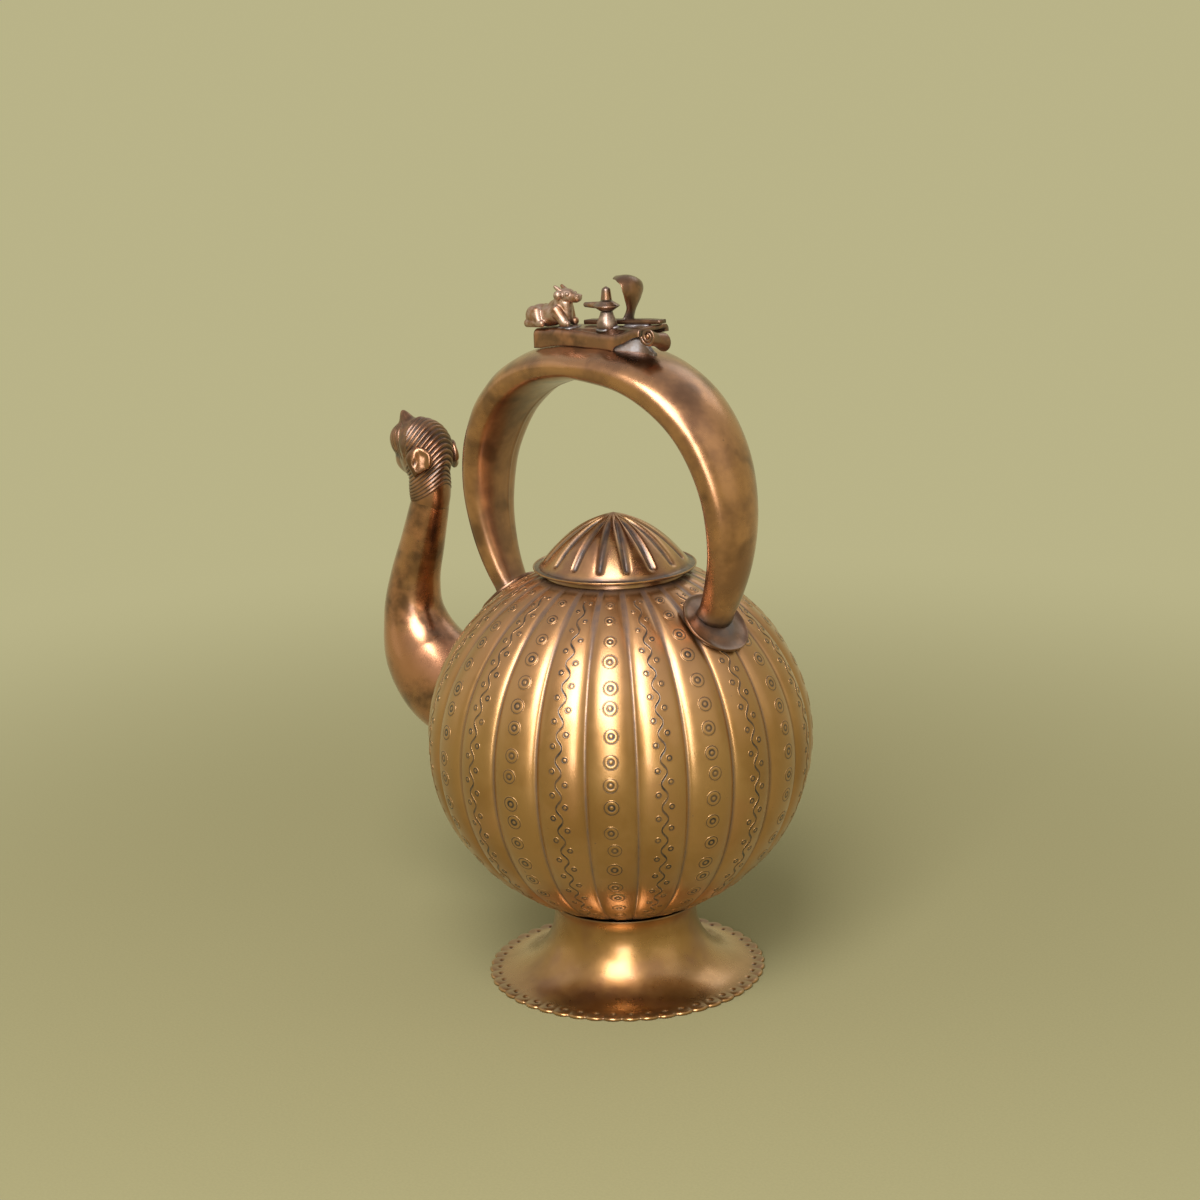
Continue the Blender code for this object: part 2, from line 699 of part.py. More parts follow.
def handle_top(x, y):
    """Height of the handle's upper surface over a point."""
    found = []
    for turn in np.linspace(-1.1, 1.1, 121):
        centre, half_thick, half_width = handle_line(turn)
        _, outward = handle_direction(turn)
        spot = centre + half_thick * math.sqrt(max(0.0, 1 - (y / half_width) ** 2)) * outward
        found.append((spot[0], spot[2]))
    found = np.array(found)
    return np.interp(x, found[:, 0], found[:, 1])


def saddle(finish, root):
    """Bent sheet: sloping top, and a flange each side that follows the handle and sweeps up to the scroll."""
    inner = SADDLE_HALF_WIDTH - SADDLE_SHEET
    sweep_x = SADDLE_FRONT - SADDLE_SWEEP
    level = np.linspace(-SADDLE_BACK, sweep_x, SADDLE_RINGS)
    stations = np.concatenate([level, np.linspace(sweep_x, SADDLE_FRONT, SWEEP_RINGS)[1:]])
    rings = []
    for x in stations:
        top = PLATFORM_Z + PLATFORM_SLOPE * x
        under = top - SADDLE_SHEET - SADDLE_CORNER
        swept = SWEEP_LIFT * math.sqrt(max(0.0, (x - sweep_x) / SADDLE_SWEEP))
        half = [(inner, under)]
        for y in (inner, SADDLE_HALF_WIDTH):
            foot_z = max(handle_top(x, y) + GAP, top - SADDLE_FLANGE)
            half.append((y, foot_z + swept * (under - foot_z)))
        for turn in np.linspace(0, math.pi / 2, EDGE_STEPS):
            edge_y = SADDLE_HALF_WIDTH - SADDLE_EDGE * (1 - math.cos(turn))
            half.append((edge_y, top - SADDLE_EDGE * (1 - math.sin(turn))))
        outline = half + [(-y, z) for y, z in half[::-1]]
        rings.append([(x, y, z) for y, z in outline])
    return add_object("saddle", extrusion("saddle", rings), finish, root)


def extrusion(name, rings):
    """Loft whose ends are closed by one flat face each, for outlines that aren't round."""
    made = bmesh.new()
    rows = [[made.verts.new(point) for point in ring] for ring in rings]
    count = len(rows[0])
    for low, high in zip(rows, rows[1:]):
        for i in range(count):
            j = (i + 1) % count
            made.faces.new((low[i], low[j], high[j], high[i]))
    made.faces.new(rows[0])
    made.faces.new(rows[-1][::-1])
    bmesh.ops.triangulate(made, faces=[face for face in made.faces if len(face.verts) > 4])
    bmesh.ops.recalc_face_normals(made, faces=made.faces)
    mesh = bpy.data.meshes.new(name)
    made.to_mesh(mesh)
    made.free()
    return mesh


def scroll(finish, root):
    """Sheet rolled into a volute at the platform's end, its far end lower than its near one."""
    centre_x = SADDLE_FRONT + GAP + SCROLL_R
    centre_z = PLATFORM_Z - SCROLL_DROP
    near = np.array((0, -SADDLE_HALF_WIDTH, 0))
    far = near + np.array((0, SCROLL_LENGTH, -SCROLL_SKEW))
    rings = []
    for share in np.linspace(0, 1, SCROLL_STEPS):
        turn = math.pi + 2 * math.pi * SCROLL_TURNS * share
        radius = SCROLL_R - (SCROLL_R - SCROLL_CORE_R) * share
        way = np.array((math.cos(turn), 0.0, math.sin(turn)))
        middle = np.array((centre_x, 0.0, centre_z))
        out, back = middle + radius * way, middle + (radius - SCROLL_SHEET) * way
        rings.append([out + near, out + far, back + far, back + near])
    return add_tilted("scroll", extrusion("scroll", rings), finish, root)


def saddle_solder(finish, root):
    """Solder between the handle's crown and the platform's end."""
    half = SADDLE_HALF_WIDTH - SADDLE_SHEET - GAP
    ys = np.linspace(-half, half, 7)
    rings = []
    for x in np.linspace(SADDLE_FRONT - SOLDER_LENGTH, SADDLE_FRONT - GAP, 5):
        top = PLATFORM_Z + PLATFORM_SLOPE * x - SADDLE_SHEET - SADDLE_CORNER - GAP
        lower = [(x, y, handle_top(x, y) + GAP) for y in ys]
        upper = [(x, y, top) for y in ys[::-1]]
        rings.append(lower + upper)
    return add_object("saddle_solder", extrusion("saddle_solder", rings), finish, root)


def cobra_strip(finish, root):
    near, far = STRIP_SIDE - STRIP_HALF_WIDTH, STRIP_SIDE + STRIP_HALF_WIDTH
    outline = [(-STRIP_BACK, near), (STRIP_FRONT, near), (STRIP_FRONT, far), (-STRIP_BACK, far)]
    rings = [[(x, y, z) for x, y in outline] for z in (STRIP_Z, STRIP_Z + STRIP_THICK)]
    return add_tilted("cobra_strip", extrusion("cobra_strip", rings), finish, root)


def stacked(name, rings, tip=None):
    """Turned piece of the upright stack of pedestal, dish and lingam."""
    place = np.array((STACK_X, FIGURE_SIDE, 0))
    return loft(name, [ring + place for ring in rings], end=None if tip is None else place + (0, 0, tip))


def pedestal(finish, root):
    angles = full_turn(TURNED_SIDES)
    sizes = (
        (PEDESTAL_R, STACK_Z),
        (PEDESTAL_SHOULDER_R, STACK_Z + PEDESTAL_SHOULDER * PEDESTAL_HEIGHT),
        (PEDESTAL_TOP_R, STACK_Z + PEDESTAL_HEIGHT),
    )
    rings = [turned_ring(radius, z, angles) for radius, z in sizes]
    return add_object("pedestal", stacked("pedestal", rings), finish, root)


def yoni_dish(finish, root):
    """Lens-shaped dish with a thick pouring lip towards the bull."""
    angles = full_turn(TURNED_SIDES)
    share = np.exp(-(((angles - math.pi) / DISH_LIP_SPREAD) ** 2))
    middle = DISH_Z + DISH_HEIGHT / 2
    half = (DISH_RIM_THICK + (DISH_LIP_THICK - DISH_RIM_THICK) * share) / 2
    edge = DISH_R + DISH_LIP * share
    rings = [
        turned_ring(PEDESTAL_TOP_R, DISH_Z, angles),
        turned_ring(edge, middle - half, angles),
        turned_ring(edge, middle + half, angles),
        turned_ring(DISH_SEAT_R, DISH_Z + DISH_HEIGHT, angles),
    ]
    return add_object("yoni_dish", stacked("yoni_dish", rings), finish, root)


def lingam(finish, root):
    angles = full_turn(TURNED_SIDES)
    shoulder = LINGAM_Z + LINGAM_HEIGHT - LINGAM_TIP_R
    rings = [turned_ring(LINGAM_R, LINGAM_Z, angles)]
    for turn in np.linspace(0, math.pi / 2, EDGE_STEPS)[:-1]:
        z = shoulder + LINGAM_TIP_R * math.sin(turn)
        rings.append(turned_ring(LINGAM_TIP_R * math.cos(turn), z, angles))
    mesh = stacked("lingam", rings, LINGAM_Z + LINGAM_HEIGHT)
    return add_object("lingam", mesh, finish, root)


def cobra(finish, root):
    """Stalk that widens into a cupped hood and curls forward over the lingam."""
    points = [(x, share * COBRA_HEIGHT, wide) for x, share, wide in COBRA_LINE]
    line = smooth_curve(points, COBRA_RINGS)
    heading = np.gradient(line[:, :2], axis=0)
    heading /= np.linalg.norm(heading, axis=1)[:, None]
    heading[0] = (0, 1)
    angles = full_turn(COBRA_SIDES)
    rings = []
    for (x, z, share), (along, up) in zip(line, heading):
        half_width = COBRA_HOOD_HALF_WIDTH * share
        half_thick = COBRA_THICK / 2 * (1.6 - 0.9 * share)
        cup = COBRA_CUP * half_width * share * np.cos(angles) ** 2
        side = half_thick * np.sin(angles) - cup
        across = STRIP_SIDE + half_width * np.cos(angles)
        rings.append(np.stack([COBRA_X + x + up * side, across, COBRA_Z + z - along * side], axis=-1))
    return add_object("cobra", loft("cobra", rings), finish, root)


def stand_on_origin(root):
    """Put the middle of the whole object's underside on the origin."""
    bpy.context.view_layer.update()
    graph = bpy.context.evaluated_depsgraph_get()
    corners = []
    for obj in root.children:
        if obj.hide_render:
            continue
        mesh = obj.evaluated_get(graph).to_mesh()
        points = np.empty(len(mesh.vertices) * 3, np.float32)
        mesh.vertices.foreach_get("co", points)
        corners += [points.reshape(-1, 3).min(axis=0), points.reshape(-1, 3).max(axis=0)]
        obj.evaluated_get(graph).to_mesh_clear()
    low = np.min(corners, axis=0)
    high = np.max(corners, axis=0)
    middle = (low + high) / 2
    root.location = (-middle[0], -middle[1], -low[2])


def main():
    clear_scene()
    root = bpy.data.objects.new("vessel_axis", None)
    bpy.context.scene.collection.objects.link(root)
    golden = metal("golden_brass", (0.42, 0.23, 0.07), 0.32)
    brown = metal("brown_brass", (0.33, 0.15, 0.06), 0.34)
    dark = metal("dark_brass", (0.14, 0.07, 0.03), 0.4)
    grey = metal("solder", (0.27, 0.26, 0.27), 0.5)

    pot = body_shell(golden, root)
    cut(pot, spout_hole(root))
    foot(golden, root)
    top = SEAT_Z - GAP
    sleeve("mouth_collar", COLLAR_R, COLLAR_WALL, top - COLLAR_HEIGHT, top, golden, root)
    lid(golden, root)
    sleeve("lid_sleeve", SLEEVE_R, SLEEVE_WALL, top - SLEEVE_DEPTH, top, golden, root)
    spout(brown, root)
    beast_head(brown, root)
    handle(brown, root)
    handle_plate("handle_plate_front", 1, PLATE_SIDE, brown, root)
    handle_plate("handle_plate_rear", -1, 0.0, brown, root)
    saddle(brown, root)
    scroll(brown, root)
    saddle_solder(grey, root)
    bull(brown, root)
    cobra_strip(dark, root)
    pedestal(brown, root)
    yoni_dish(golden, root)
    lingam(golden, root)
    cobra(dark, root)
    stand_on_origin(root)


main()
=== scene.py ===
"""Looks of a spouted ritual water vessel in patinated brass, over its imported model, in metres."""

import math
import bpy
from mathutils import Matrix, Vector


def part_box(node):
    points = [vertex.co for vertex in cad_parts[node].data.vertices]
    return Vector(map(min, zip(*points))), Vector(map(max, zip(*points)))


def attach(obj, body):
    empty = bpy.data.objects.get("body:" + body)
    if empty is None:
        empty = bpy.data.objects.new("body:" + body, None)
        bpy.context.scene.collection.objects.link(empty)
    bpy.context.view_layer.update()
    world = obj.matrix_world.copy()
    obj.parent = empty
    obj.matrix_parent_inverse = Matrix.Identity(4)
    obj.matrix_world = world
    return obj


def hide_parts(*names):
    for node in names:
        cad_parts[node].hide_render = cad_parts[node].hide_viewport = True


bl_info = {
    "name": "Ritual Water Vessel",
    "version": (1, 0, 0),
    "blender": (4, 5, 0),
    "location": "View3D > Sidebar > Vessel",
    "description": "Builds the chased pot, lid, spout, handle and figures over the packed model",
    "category": "Object",
}

import bmesh
import bpy
import numpy as np
from mathutils import Matrix, Vector

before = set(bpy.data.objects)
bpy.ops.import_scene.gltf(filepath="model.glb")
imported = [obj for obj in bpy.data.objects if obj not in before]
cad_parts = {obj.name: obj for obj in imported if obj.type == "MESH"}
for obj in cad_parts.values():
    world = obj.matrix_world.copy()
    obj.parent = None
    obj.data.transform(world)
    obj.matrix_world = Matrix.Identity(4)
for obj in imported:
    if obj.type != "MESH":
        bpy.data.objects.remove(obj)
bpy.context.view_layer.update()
TURN = 2 * math.pi
AXIS_X = ((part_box("foot")[0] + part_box("foot")[1]) / 2).x
# Tarnish of the hollows, wall of the collar and the sleeve, and latitude that the chasing reaches.
INSIDE_TARNISH = 0.6
TUBE_WALL = 0.0016
CHASED_TO = 1.13


def length(name, text, value):
    """A size in metres that a user may change."""
    return bpy.props.FloatProperty(name=name, description=text, default=value, unit="LENGTH", precision=4)


def angle(name, text, value):
    """An angle in radians that a user may change."""
    return bpy.props.FloatProperty(name=name, description=text, default=value, unit="ROTATION")


def count(name, text, value):
    """A whole number of copies, one at least."""
    return bpy.props.IntProperty(name=name, description=text, default=value, min=1)


def number(name, text, value):
    """A plain number, such as a share."""
    return bpy.props.FloatProperty(name=name, description=text, default=value)


def colour(name, text, value):
    """A colour in linear red, green and blue."""
    return bpy.props.FloatVectorProperty(
        name=name, description=text, default=value, subtype="COLOR", size=3, min=0, max=1
    )


class PotSizes(bpy.types.PropertyGroup):
    """Sizes of the pot and of its chasing"""

    radius: length("Radius", "Widest radius at a lobe's crest", 0.08458)
    half_height: length("Half height", "Half height of the full ellipsoid", 0.0803)
    centre: length("Centre", "Height of the widest circle", 0.10899)
    wall: length("Wall", "Sheet thickness", 0.002)
    lobes: count("Lobes", "Lobes round the pot", 24)
    lobe_depth: length("Lobe depth", "Depth of the grooves between lobes", 0.0024)
    notch: length("Notch", "Extra depth of the chased line in a groove", 0.0005)
    band_neck: number("Band at neck", "Share of a half lobe that is flat groove at the neck", 0.24)
    band_low: number("Band below", "Share of a half lobe that is flat groove lower down", 0.03)
    mouth: length("Mouth radius", "Inner radius of the mouth", 0.031)
    lip: length("Lip height", "Height of the pot's lip", 0.18317)
    circle: length("Circle radius", "Outer radius of a punched double circle", 0.0033)
    small_circle: length("Small circle radius", "Radius of a circle beside a wave", 0.0015)
    circles: count("Circles", "Double circles down a lobe", 18)
    waves: count("Waves", "Waves of the chased line down a lobe", 18)
    sway: length("Sway", "Half width of a wave", 0.0013)


class FootSizes(bpy.types.PropertyGroup):
    """Sizes of the foot"""

    height: length("Height", "Height of the foot", 0.0345)
    neck: length("Neck radius", "Radius under the pot", 0.033)
    waist: length("Waist radius", "Narrowest radius", 0.0318)
    rim: length("Rim radius", "Radius over the scallops", 0.0620)
    rim_height: length("Rim height", "Thickness of the rim", 0.0011)
    wall: length("Wall", "Sheet thickness", 0.002)
    scallops: count("Scallops", "Scallops round the rim", 48)
    scallop_depth: length("Scallop depth", "Depth of the cuts between scallops", 0.0013)
    dimple: length("Dimple radius", "Radius of a punched dimple", 0.0010)


class LidSizes(bpy.types.PropertyGroup):
    """Sizes of the lid"""

    seat: length("Seat", "Height of the lid's underside", 0.18577)
    height: length("Height", "Height of the lid", 0.0240)
    dome: length("Dome radius", "Radius of the dome's base", 0.0324)
    brim: length("Brim radius", "Radius over the bead", 0.0355)
    flutes: count("Flutes", "Grooves on the dome", 16)
    flute_depth: length("Flute depth", "Depth of a groove", 0.0013)
    flute_width: length("Flute width", "Half width of a groove at its widest", 0.0014)
    flute_turn: angle("Flute turn", "Angle of the first groove", 0.0916)


class SpoutSizes(bpy.types.PropertyGroup):
    """Sizes of the spout and of the mane"""

    root: length("Root", "Distance from the axis to the spout's origin", 0.085)
    sink: length("Sink", "How far the spout's root goes into the pot", 0.006)
    ridge: length("Ridge", "Height of a lock of the mane", 0.0008)
    lock: number("Lock", "Angle from lock to lock of the mane, in radians", 0.045)


class HandleSizes(bpy.types.PropertyGroup):
    """Sizes of the arch, whose radius and section change from crown to foot"""

    shift: length("Shift", "Shift of the arch towards the spout", -0.0041)
    centre: length("Centre", "Height of the arch's centre", 0.22349)
    radius: length("Radius", "Mean radius of the arch", 0.06885)
    flatten: length("Flatten", "First wave of the radius", -0.01656)
    squash: length("Squash", "Second wave of the radius", 0.0009)
    point: length("Point", "Third wave of the radius", -0.00157)
    thick: length("Thickness", "Thickness at the crown", 0.0146)
    thick_growth: length("Thickness growth", "Growth of the thickness", 0.0168)
    thick_fall: length("Thickness fall", "Fall of the thickness", 0.0198)
    width: length("Width", "Width at the crown", 0.0481)
    width_fall: length("Width fall", "Fall of the width", 0.0184)
    width_curve: length("Width curve", "Further fall of the width", 0.0144)
    span: number("Span", "Angle over which the sizes change", 2.4)
    plate: length("Plate radius", "Radius of a foot plate", 0.0155)


class PlatformSizes(bpy.types.PropertyGroup):
    """Sizes of the platform and places of what stands on it"""

    top: length("Top", "Height of the platform over the crown", 0.29041)
    tilt: angle("Tilt", "Rise of the platform towards the scroll", 0.0698)
    back: length("Back", "Length behind the crown", 0.0331)
    front: length("Front", "Length before the crown", 0.0253)
    sweep: length("Sweep", "Length of the swept end", 0.0145)
    half_width: length("Half width", "Half width of the platform", 0.010)
    flange: length("Flange", "Height of the flange", 0.0083)
    sheet: length("Sheet", "Sheet thickness", 0.002)
    edge: length("Edge", "Radius of the bent edge", 0.0026)
    scroll: length("Scroll radius", "Radius of the volute", 0.0044)
    scroll_length: length("Scroll length", "Length of the volute", 0.010)
    scroll_drop: length("Scroll drop", "Depth of the volute's middle under the platform", 0.0033)
    scroll_skew: length("Scroll skew", "Fall of the volute's far end", 0.0032)
    figure_side: length("Figure side", "Sideways place of the bull and the lingam", -0.0032)
    strip_side: length("Strip side", "Sideways place of the strip and the cobra", 0.004)
    bull: length("Bull", "Place of the bull's middle", -0.0293)
    stack: length("Stack", "Place of the pedestal, dish and lingam", 0.0027)
    cobra: length("Cobra", "Place of the cobra's foot", 0.0093)


class FinishColours(bpy.types.PropertyGroup):
    """Tones of the metals and of the floor"""

    gold: colour("Gold", "Rubbed golden brass", (0.52, 0.29, 0.115))
    olive: colour("Olive", "Deeper golden brass", (0.43, 0.225, 0.075))
    brown: colour("Brown", "Brown brass", (0.56, 0.28, 0.13))
    umber: colour("Umber", "Deep brown brass", (0.34, 0.165, 0.082))
    copper: colour("Copper", "Red brass", (0.53, 0.24, 0.12))
    violet: colour("Violet", "Grey violet tarnish", (0.10, 0.07, 0.066))
    dusk: colour("Dusk", "Deep grey violet tarnish", (0.05, 0.036, 0.034))
    soot: colour("Soot", "Dark tarnish", (0.028, 0.019, 0.015))
    solder: colour("Solder", "Grey solder", (0.36, 0.34, 0.37))
    rose: colour("Rose", "Pinkish grey brass", (0.48, 0.335, 0.265))
    bark: colour("Bark", "Dark brown brass", (0.17, 0.078, 0.036))
    taupe: colour("Taupe", "Grey brown brass", (0.22, 0.145, 0.115))
    floor: colour("Floor", "Khaki paper", (0.488, 0.453, 0.247))


def smooth_step(low, high, value):
    """Share of the way from low to high, held between 0 and 1 and eased by 3s^2 - 2s^3."""
    share = np.clip((value - low) / (high - low), 0, 1)
    return share * share * (3 - 2 * share)


def wobble(points, scale, seed):
    """Gentle unevenness from -1 to 1: a mean of sine waves that run in different directions.
    The odd factors only keep the waves out of step."""
    waves = 4
    total = 0
    for k in range(waves):
        way = (math.sin(seed + 1.7 * k), math.cos(2.3 * seed + 2.9 * k), math.sin(1.3 * seed + 4.1 * k))
        total = total + np.sin(points @ np.array(way) * scale * (1 + 0.37 * k) + 5.1 * k + seed)
    return total / waves


def scatter(places, seed):
    """Repeatable jitter from -1 to 1 for whole numbers: the fraction of a large multiple of a sine."""
    return 2 * ((np.sin(places * 12.9898 + seed * 78.233) * 43758.5453) % 1) - 1


def turns(columns):
    """Angles of equal columns round a full turn."""
    return np.arange(columns) * TURN / columns


def joined(x, y, z):
    """Points from three coordinates, each spread over the whole grid."""
    return np.stack(np.broadcast_arrays(x, y, z), axis=-1)


def unit(vectors):
    """Vectors divided by their own lengths."""
    return vectors / np.linalg.norm(vectors, axis=-1, keepdims=True)


def sphere(rows, columns):
    """Directions over a sphere, from the upper pole to the lower one."""
    fall = np.linspace(0, math.pi, rows)[:, None]
    around = turns(columns)
    return joined(np.sin(fall) * np.cos(around), np.sin(fall) * np.sin(around), np.cos(fall))


def darkest(*fields):
    """Greatest of several fields of tarnish, point by point."""
    return np.maximum.reduce(np.broadcast_arrays(*fields))


def skin(shape, wrap_rows=False, wrap_columns=True):
    """Four-sided faces between neighbours of a grid of points, closed on itself where it wraps."""
    rows, columns = shape
    index = np.arange(rows * columns).reshape(rows, columns)
    if wrap_columns:
        index = np.concatenate([index, index[:, :1]], axis=1)
    if wrap_rows:
        index = np.concatenate([index, index[:1]], axis=0)
    corners = (index[:-1, :-1], index[:-1, 1:], index[1:, 1:], index[1:, :-1])
    return np.stack(corners, axis=-1).reshape(-1, 4)


def surface(points, tarnish=0.0, wrap_rows=False, wrap_columns=True):
    """A grid of points as (points, faces, tarnish), closed on itself where it wraps."""
    faces = skin(points.shape[:2], wrap_rows, wrap_columns)
    return points.reshape(-1, 3), faces, np.broadcast_to(tarnish, points.shape[:2]).reshape(-1)


def capped(points, tarnish=0.0):
    """A grid with a pole at the middle of its first and last row."""
    first = np.broadcast_to(points[0].mean(axis=0), points[0].shape)
    last = np.broadcast_to(points[-1].mean(axis=0), points[-1].shape)
    tarnish = np.broadcast_to(tarnish, points.shape[:2])
    whole = np.concatenate([tarnish[:1], tarnish, tarnish[-1:]])
    return surface(np.concatenate([first[None], points, last[None]]), whole)


def lathe(profile, angles):
    """A profile of (radius, height) pairs carried round the axis."""
    radius, height = np.asarray(profile, float).T[..., None]
    return joined(radius * np.cos(angles), radius * np.sin(angles), height)


def smooth_curve(points, steps):
    """Catmull-Rom curve through points, read at equal steps of its parameter."""
    points = np.asarray(points, float)
    padded = np.vstack([2 * points[0] - points[1], points, 2 * points[-1] - points[-2]])
    place = np.linspace(0, len(points) - 1, steps)
    k = np.minimum(place.astype(int), len(points) - 2)
    t = (place - k)[:, None]
    a, b, c, d = padded[k], padded[k + 1], padded[k + 2], padded[k + 3]
    return 0.5 * (2 * b + (c - a) * t + (2 * a - 5 * b + 4 * c - d) * t**2 + (3 * b - a - 3 * c + d) * t**3)


def add_piece(name, parts, finish, node=None, body="vessel"):
    """One object from surfaces; it rides on a CAD body and stands for the CAD node named."""
    merge_distance = 2e-7
    starts = np.cumsum([0] + [len(points) for points, _, _ in parts[:-1]])
    points = np.concatenate([points for points, _, _ in parts]) + (AXIS_X, 0, 0)
    faces = np.concatenate([faces + start for (_, faces, _), start in zip(parts, starts)])
    mesh = bpy.data.meshes.new(name)
    mesh.vertices.add(len(points))
    mesh.vertices.foreach_set("co", points.astype(np.float32).ravel())
    mesh.loops.add(faces.size)
    mesh.loops.foreach_set("vertex_index", faces.astype(np.int32).ravel())
    mesh.polygons.add(len(faces))
    mesh.polygons.foreach_set("loop_start", np.arange(0, faces.size, 4, dtype=np.int32))
    mesh.update(calc_edges=True)
    # Darkness of each point: patina in hollows and, on some pieces, painted shade.
    tarnish = mesh.attributes.new("tarnish", "FLOAT", "POINT")
    tarnish.data.foreach_set("value", np.concatenate([t for _, _, t in parts]).astype(np.float32))
    made = bmesh.new()
    made.from_mesh(mesh)
    bmesh.ops.remove_doubles(made, verts=made.verts, dist=merge_distance)
    bmesh.ops.recalc_face_normals(made, faces=made.faces)
    made.to_mesh(mesh)
    made.free()
    mesh.shade_smooth()
    mesh.materials.append(finish_named(finish))
    piece = bpy.data.objects.new(name, mesh)
    bpy.context.scene.collection.objects.link(piece)
    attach(piece, body)
    if node:
        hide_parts(node)
    return piece


def add_node(tree, kind, inputs=(), **settings):
    """A shader node; an input is a value, or a socket to link from."""
    node = tree.nodes.new(kind)
    for key, value in settings.items():
        setattr(node, key, value)
    for key, value in dict(inputs).items():
        if isinstance(value, bpy.types.NodeSocket):
            tree.links.new(value, node.inputs[key])
        else:
            node.inputs[key].default_value = value
    return node


def mixed(tree, factor, first, second):
    """Colour between two colours; each is a colour or a socket."""
    pair = [c if isinstance(c, bpy.types.NodeSocket) else (*c, 1) for c in (first, second)]
    inputs = {"Factor": factor, 6: pair[0], 7: pair[1]}
    return add_node(tree, "ShaderNodeMix", inputs, data_type="RGBA").outputs[2]


def ranged(tree, value, low, high, to_low=0.0, to_high=1.0):
    """A value's smooth step from low to high, as a number from to_low to to_high."""
    inputs = {"Value": value, "From Min": low, "From Max": high, "To Min": to_low, "To Max": to_high}
    return add_node(tree, "ShaderNodeMapRange", inputs, interpolation_type="SMOOTHSTEP").outputs[0]


def noise(tree, place, scale, detail=3.0, rough=0.55):
    """Cloudy noise from 0 to 1, with a scale in clouds to the metre."""
    inputs = {"Vector": place, "Scale": scale, "Detail": detail, "Roughness": rough}
    return add_node(tree, "ShaderNodeTexNoise", inputs).outputs[0]


def combined(tree, operation, first, second, **settings):
    """Two numbers put together by one operation."""
    return add_node(tree, "ShaderNodeMath", {0: first, 1: second}, operation=operation, **settings).outputs[0]


def bumped(tree, strength, depth, height, **inputs):
    """A normal that leans with the slope of a height field of that depth."""
    inputs = {"Strength": strength, "Distance": depth, "Height": height, **inputs}
    return add_node(tree, "ShaderNodeBump", inputs).outputs[0]


def brass(name, light, deep, dark, rough, clouds, blush, dents, blush_rise):
    """Patinated brass: clouds of two tones, a red blush that may grow with height, dark patina in
    hollows and pits together with the painted shade that some pieces carry, which also dulls the metal,
    and bumps for hammer dents and grain."""
    tarnish_scale, pit_scale, wear_scale, dent_scale, grain_scale = 160.0, 420.0, 60.0, 95.0, 1500.0
    dent_depth, grain_depth, grain_strength = 0.0009, 0.0002, 0.1
    made = bpy.data.materials.new(name)
    made.use_nodes = True
    tree = made.node_tree
    shader = tree.nodes["Principled BSDF"]
    shader.inputs["Coat Weight"].default_value = 0.8
    shader.inputs["Coat Roughness"].default_value = 0.22
    place = add_node(tree, "ShaderNodeTexCoord").outputs["Object"]
    cloud = ranged(tree, noise(tree, place, clouds, 4.0, 0.6), 0.40, 0.62)
    tone = mixed(tree, cloud, light, deep)
    if blush:
        red = ranged(tree, noise(tree, place, clouds * 1.7, 2.0), 0.5, 0.72, 0.0, 0.7)
        if blush_rise:
            height = add_node(tree, "ShaderNodeSeparateXYZ", {0: place}).outputs["Z"]
            high = ranged(tree, height, *blush_rise, 0.0, 0.6)
            red = combined(tree, "MAXIMUM", combined(tree, "MULTIPLY", red, 0.6), high)
        tone = mixed(tree, red, tone, blush)
    # This attribute holds patina in hollows and, on some pieces, painted shade.
    hollow = add_node(tree, "ShaderNodeAttribute", attribute_name="tarnish").outputs["Fac"]
    uneven = ranged(tree, noise(tree, place, tarnish_scale, 4.0, 0.65), 0.25, 0.8, 0.7, 1.15)
    patina_and_shade = combined(tree, "MULTIPLY", hollow, uneven, use_clamp=True)
    pits = ranged(tree, noise(tree, place, pit_scale, 2.0), 0.73, 0.8, 0.0, 0.55)
    covered = combined(tree, "MAXIMUM", patina_and_shade, pits)
    tree.links.new(mixed(tree, covered, tone, dark), shader.inputs["Base Color"])
    shine = ranged(tree, covered, 0.0, 1.0, 1.0, 0.6)
    tree.links.new(shine, shader.inputs["Metallic"])
    worn = ranged(tree, noise(tree, place, wear_scale, 5.0, 0.7), 0.3, 0.7, rough - 0.04, rough + 0.07)
    dull = combined(tree, "MULTIPLY", covered, 0.2)
    tree.links.new(combined(tree, "ADD", worn, dull), shader.inputs["Roughness"])
    hammer = bumped(tree, dents, dent_depth, noise(tree, place, dent_scale, 2.0))
    grain = bumped(tree, grain_strength, grain_depth, noise(tree, place, grain_scale, 3.0), Normal=hammer)
    tree.links.new(grain, shader.inputs["Normal"])
    return made


POT_BLUSH = (0.11, 0.185)
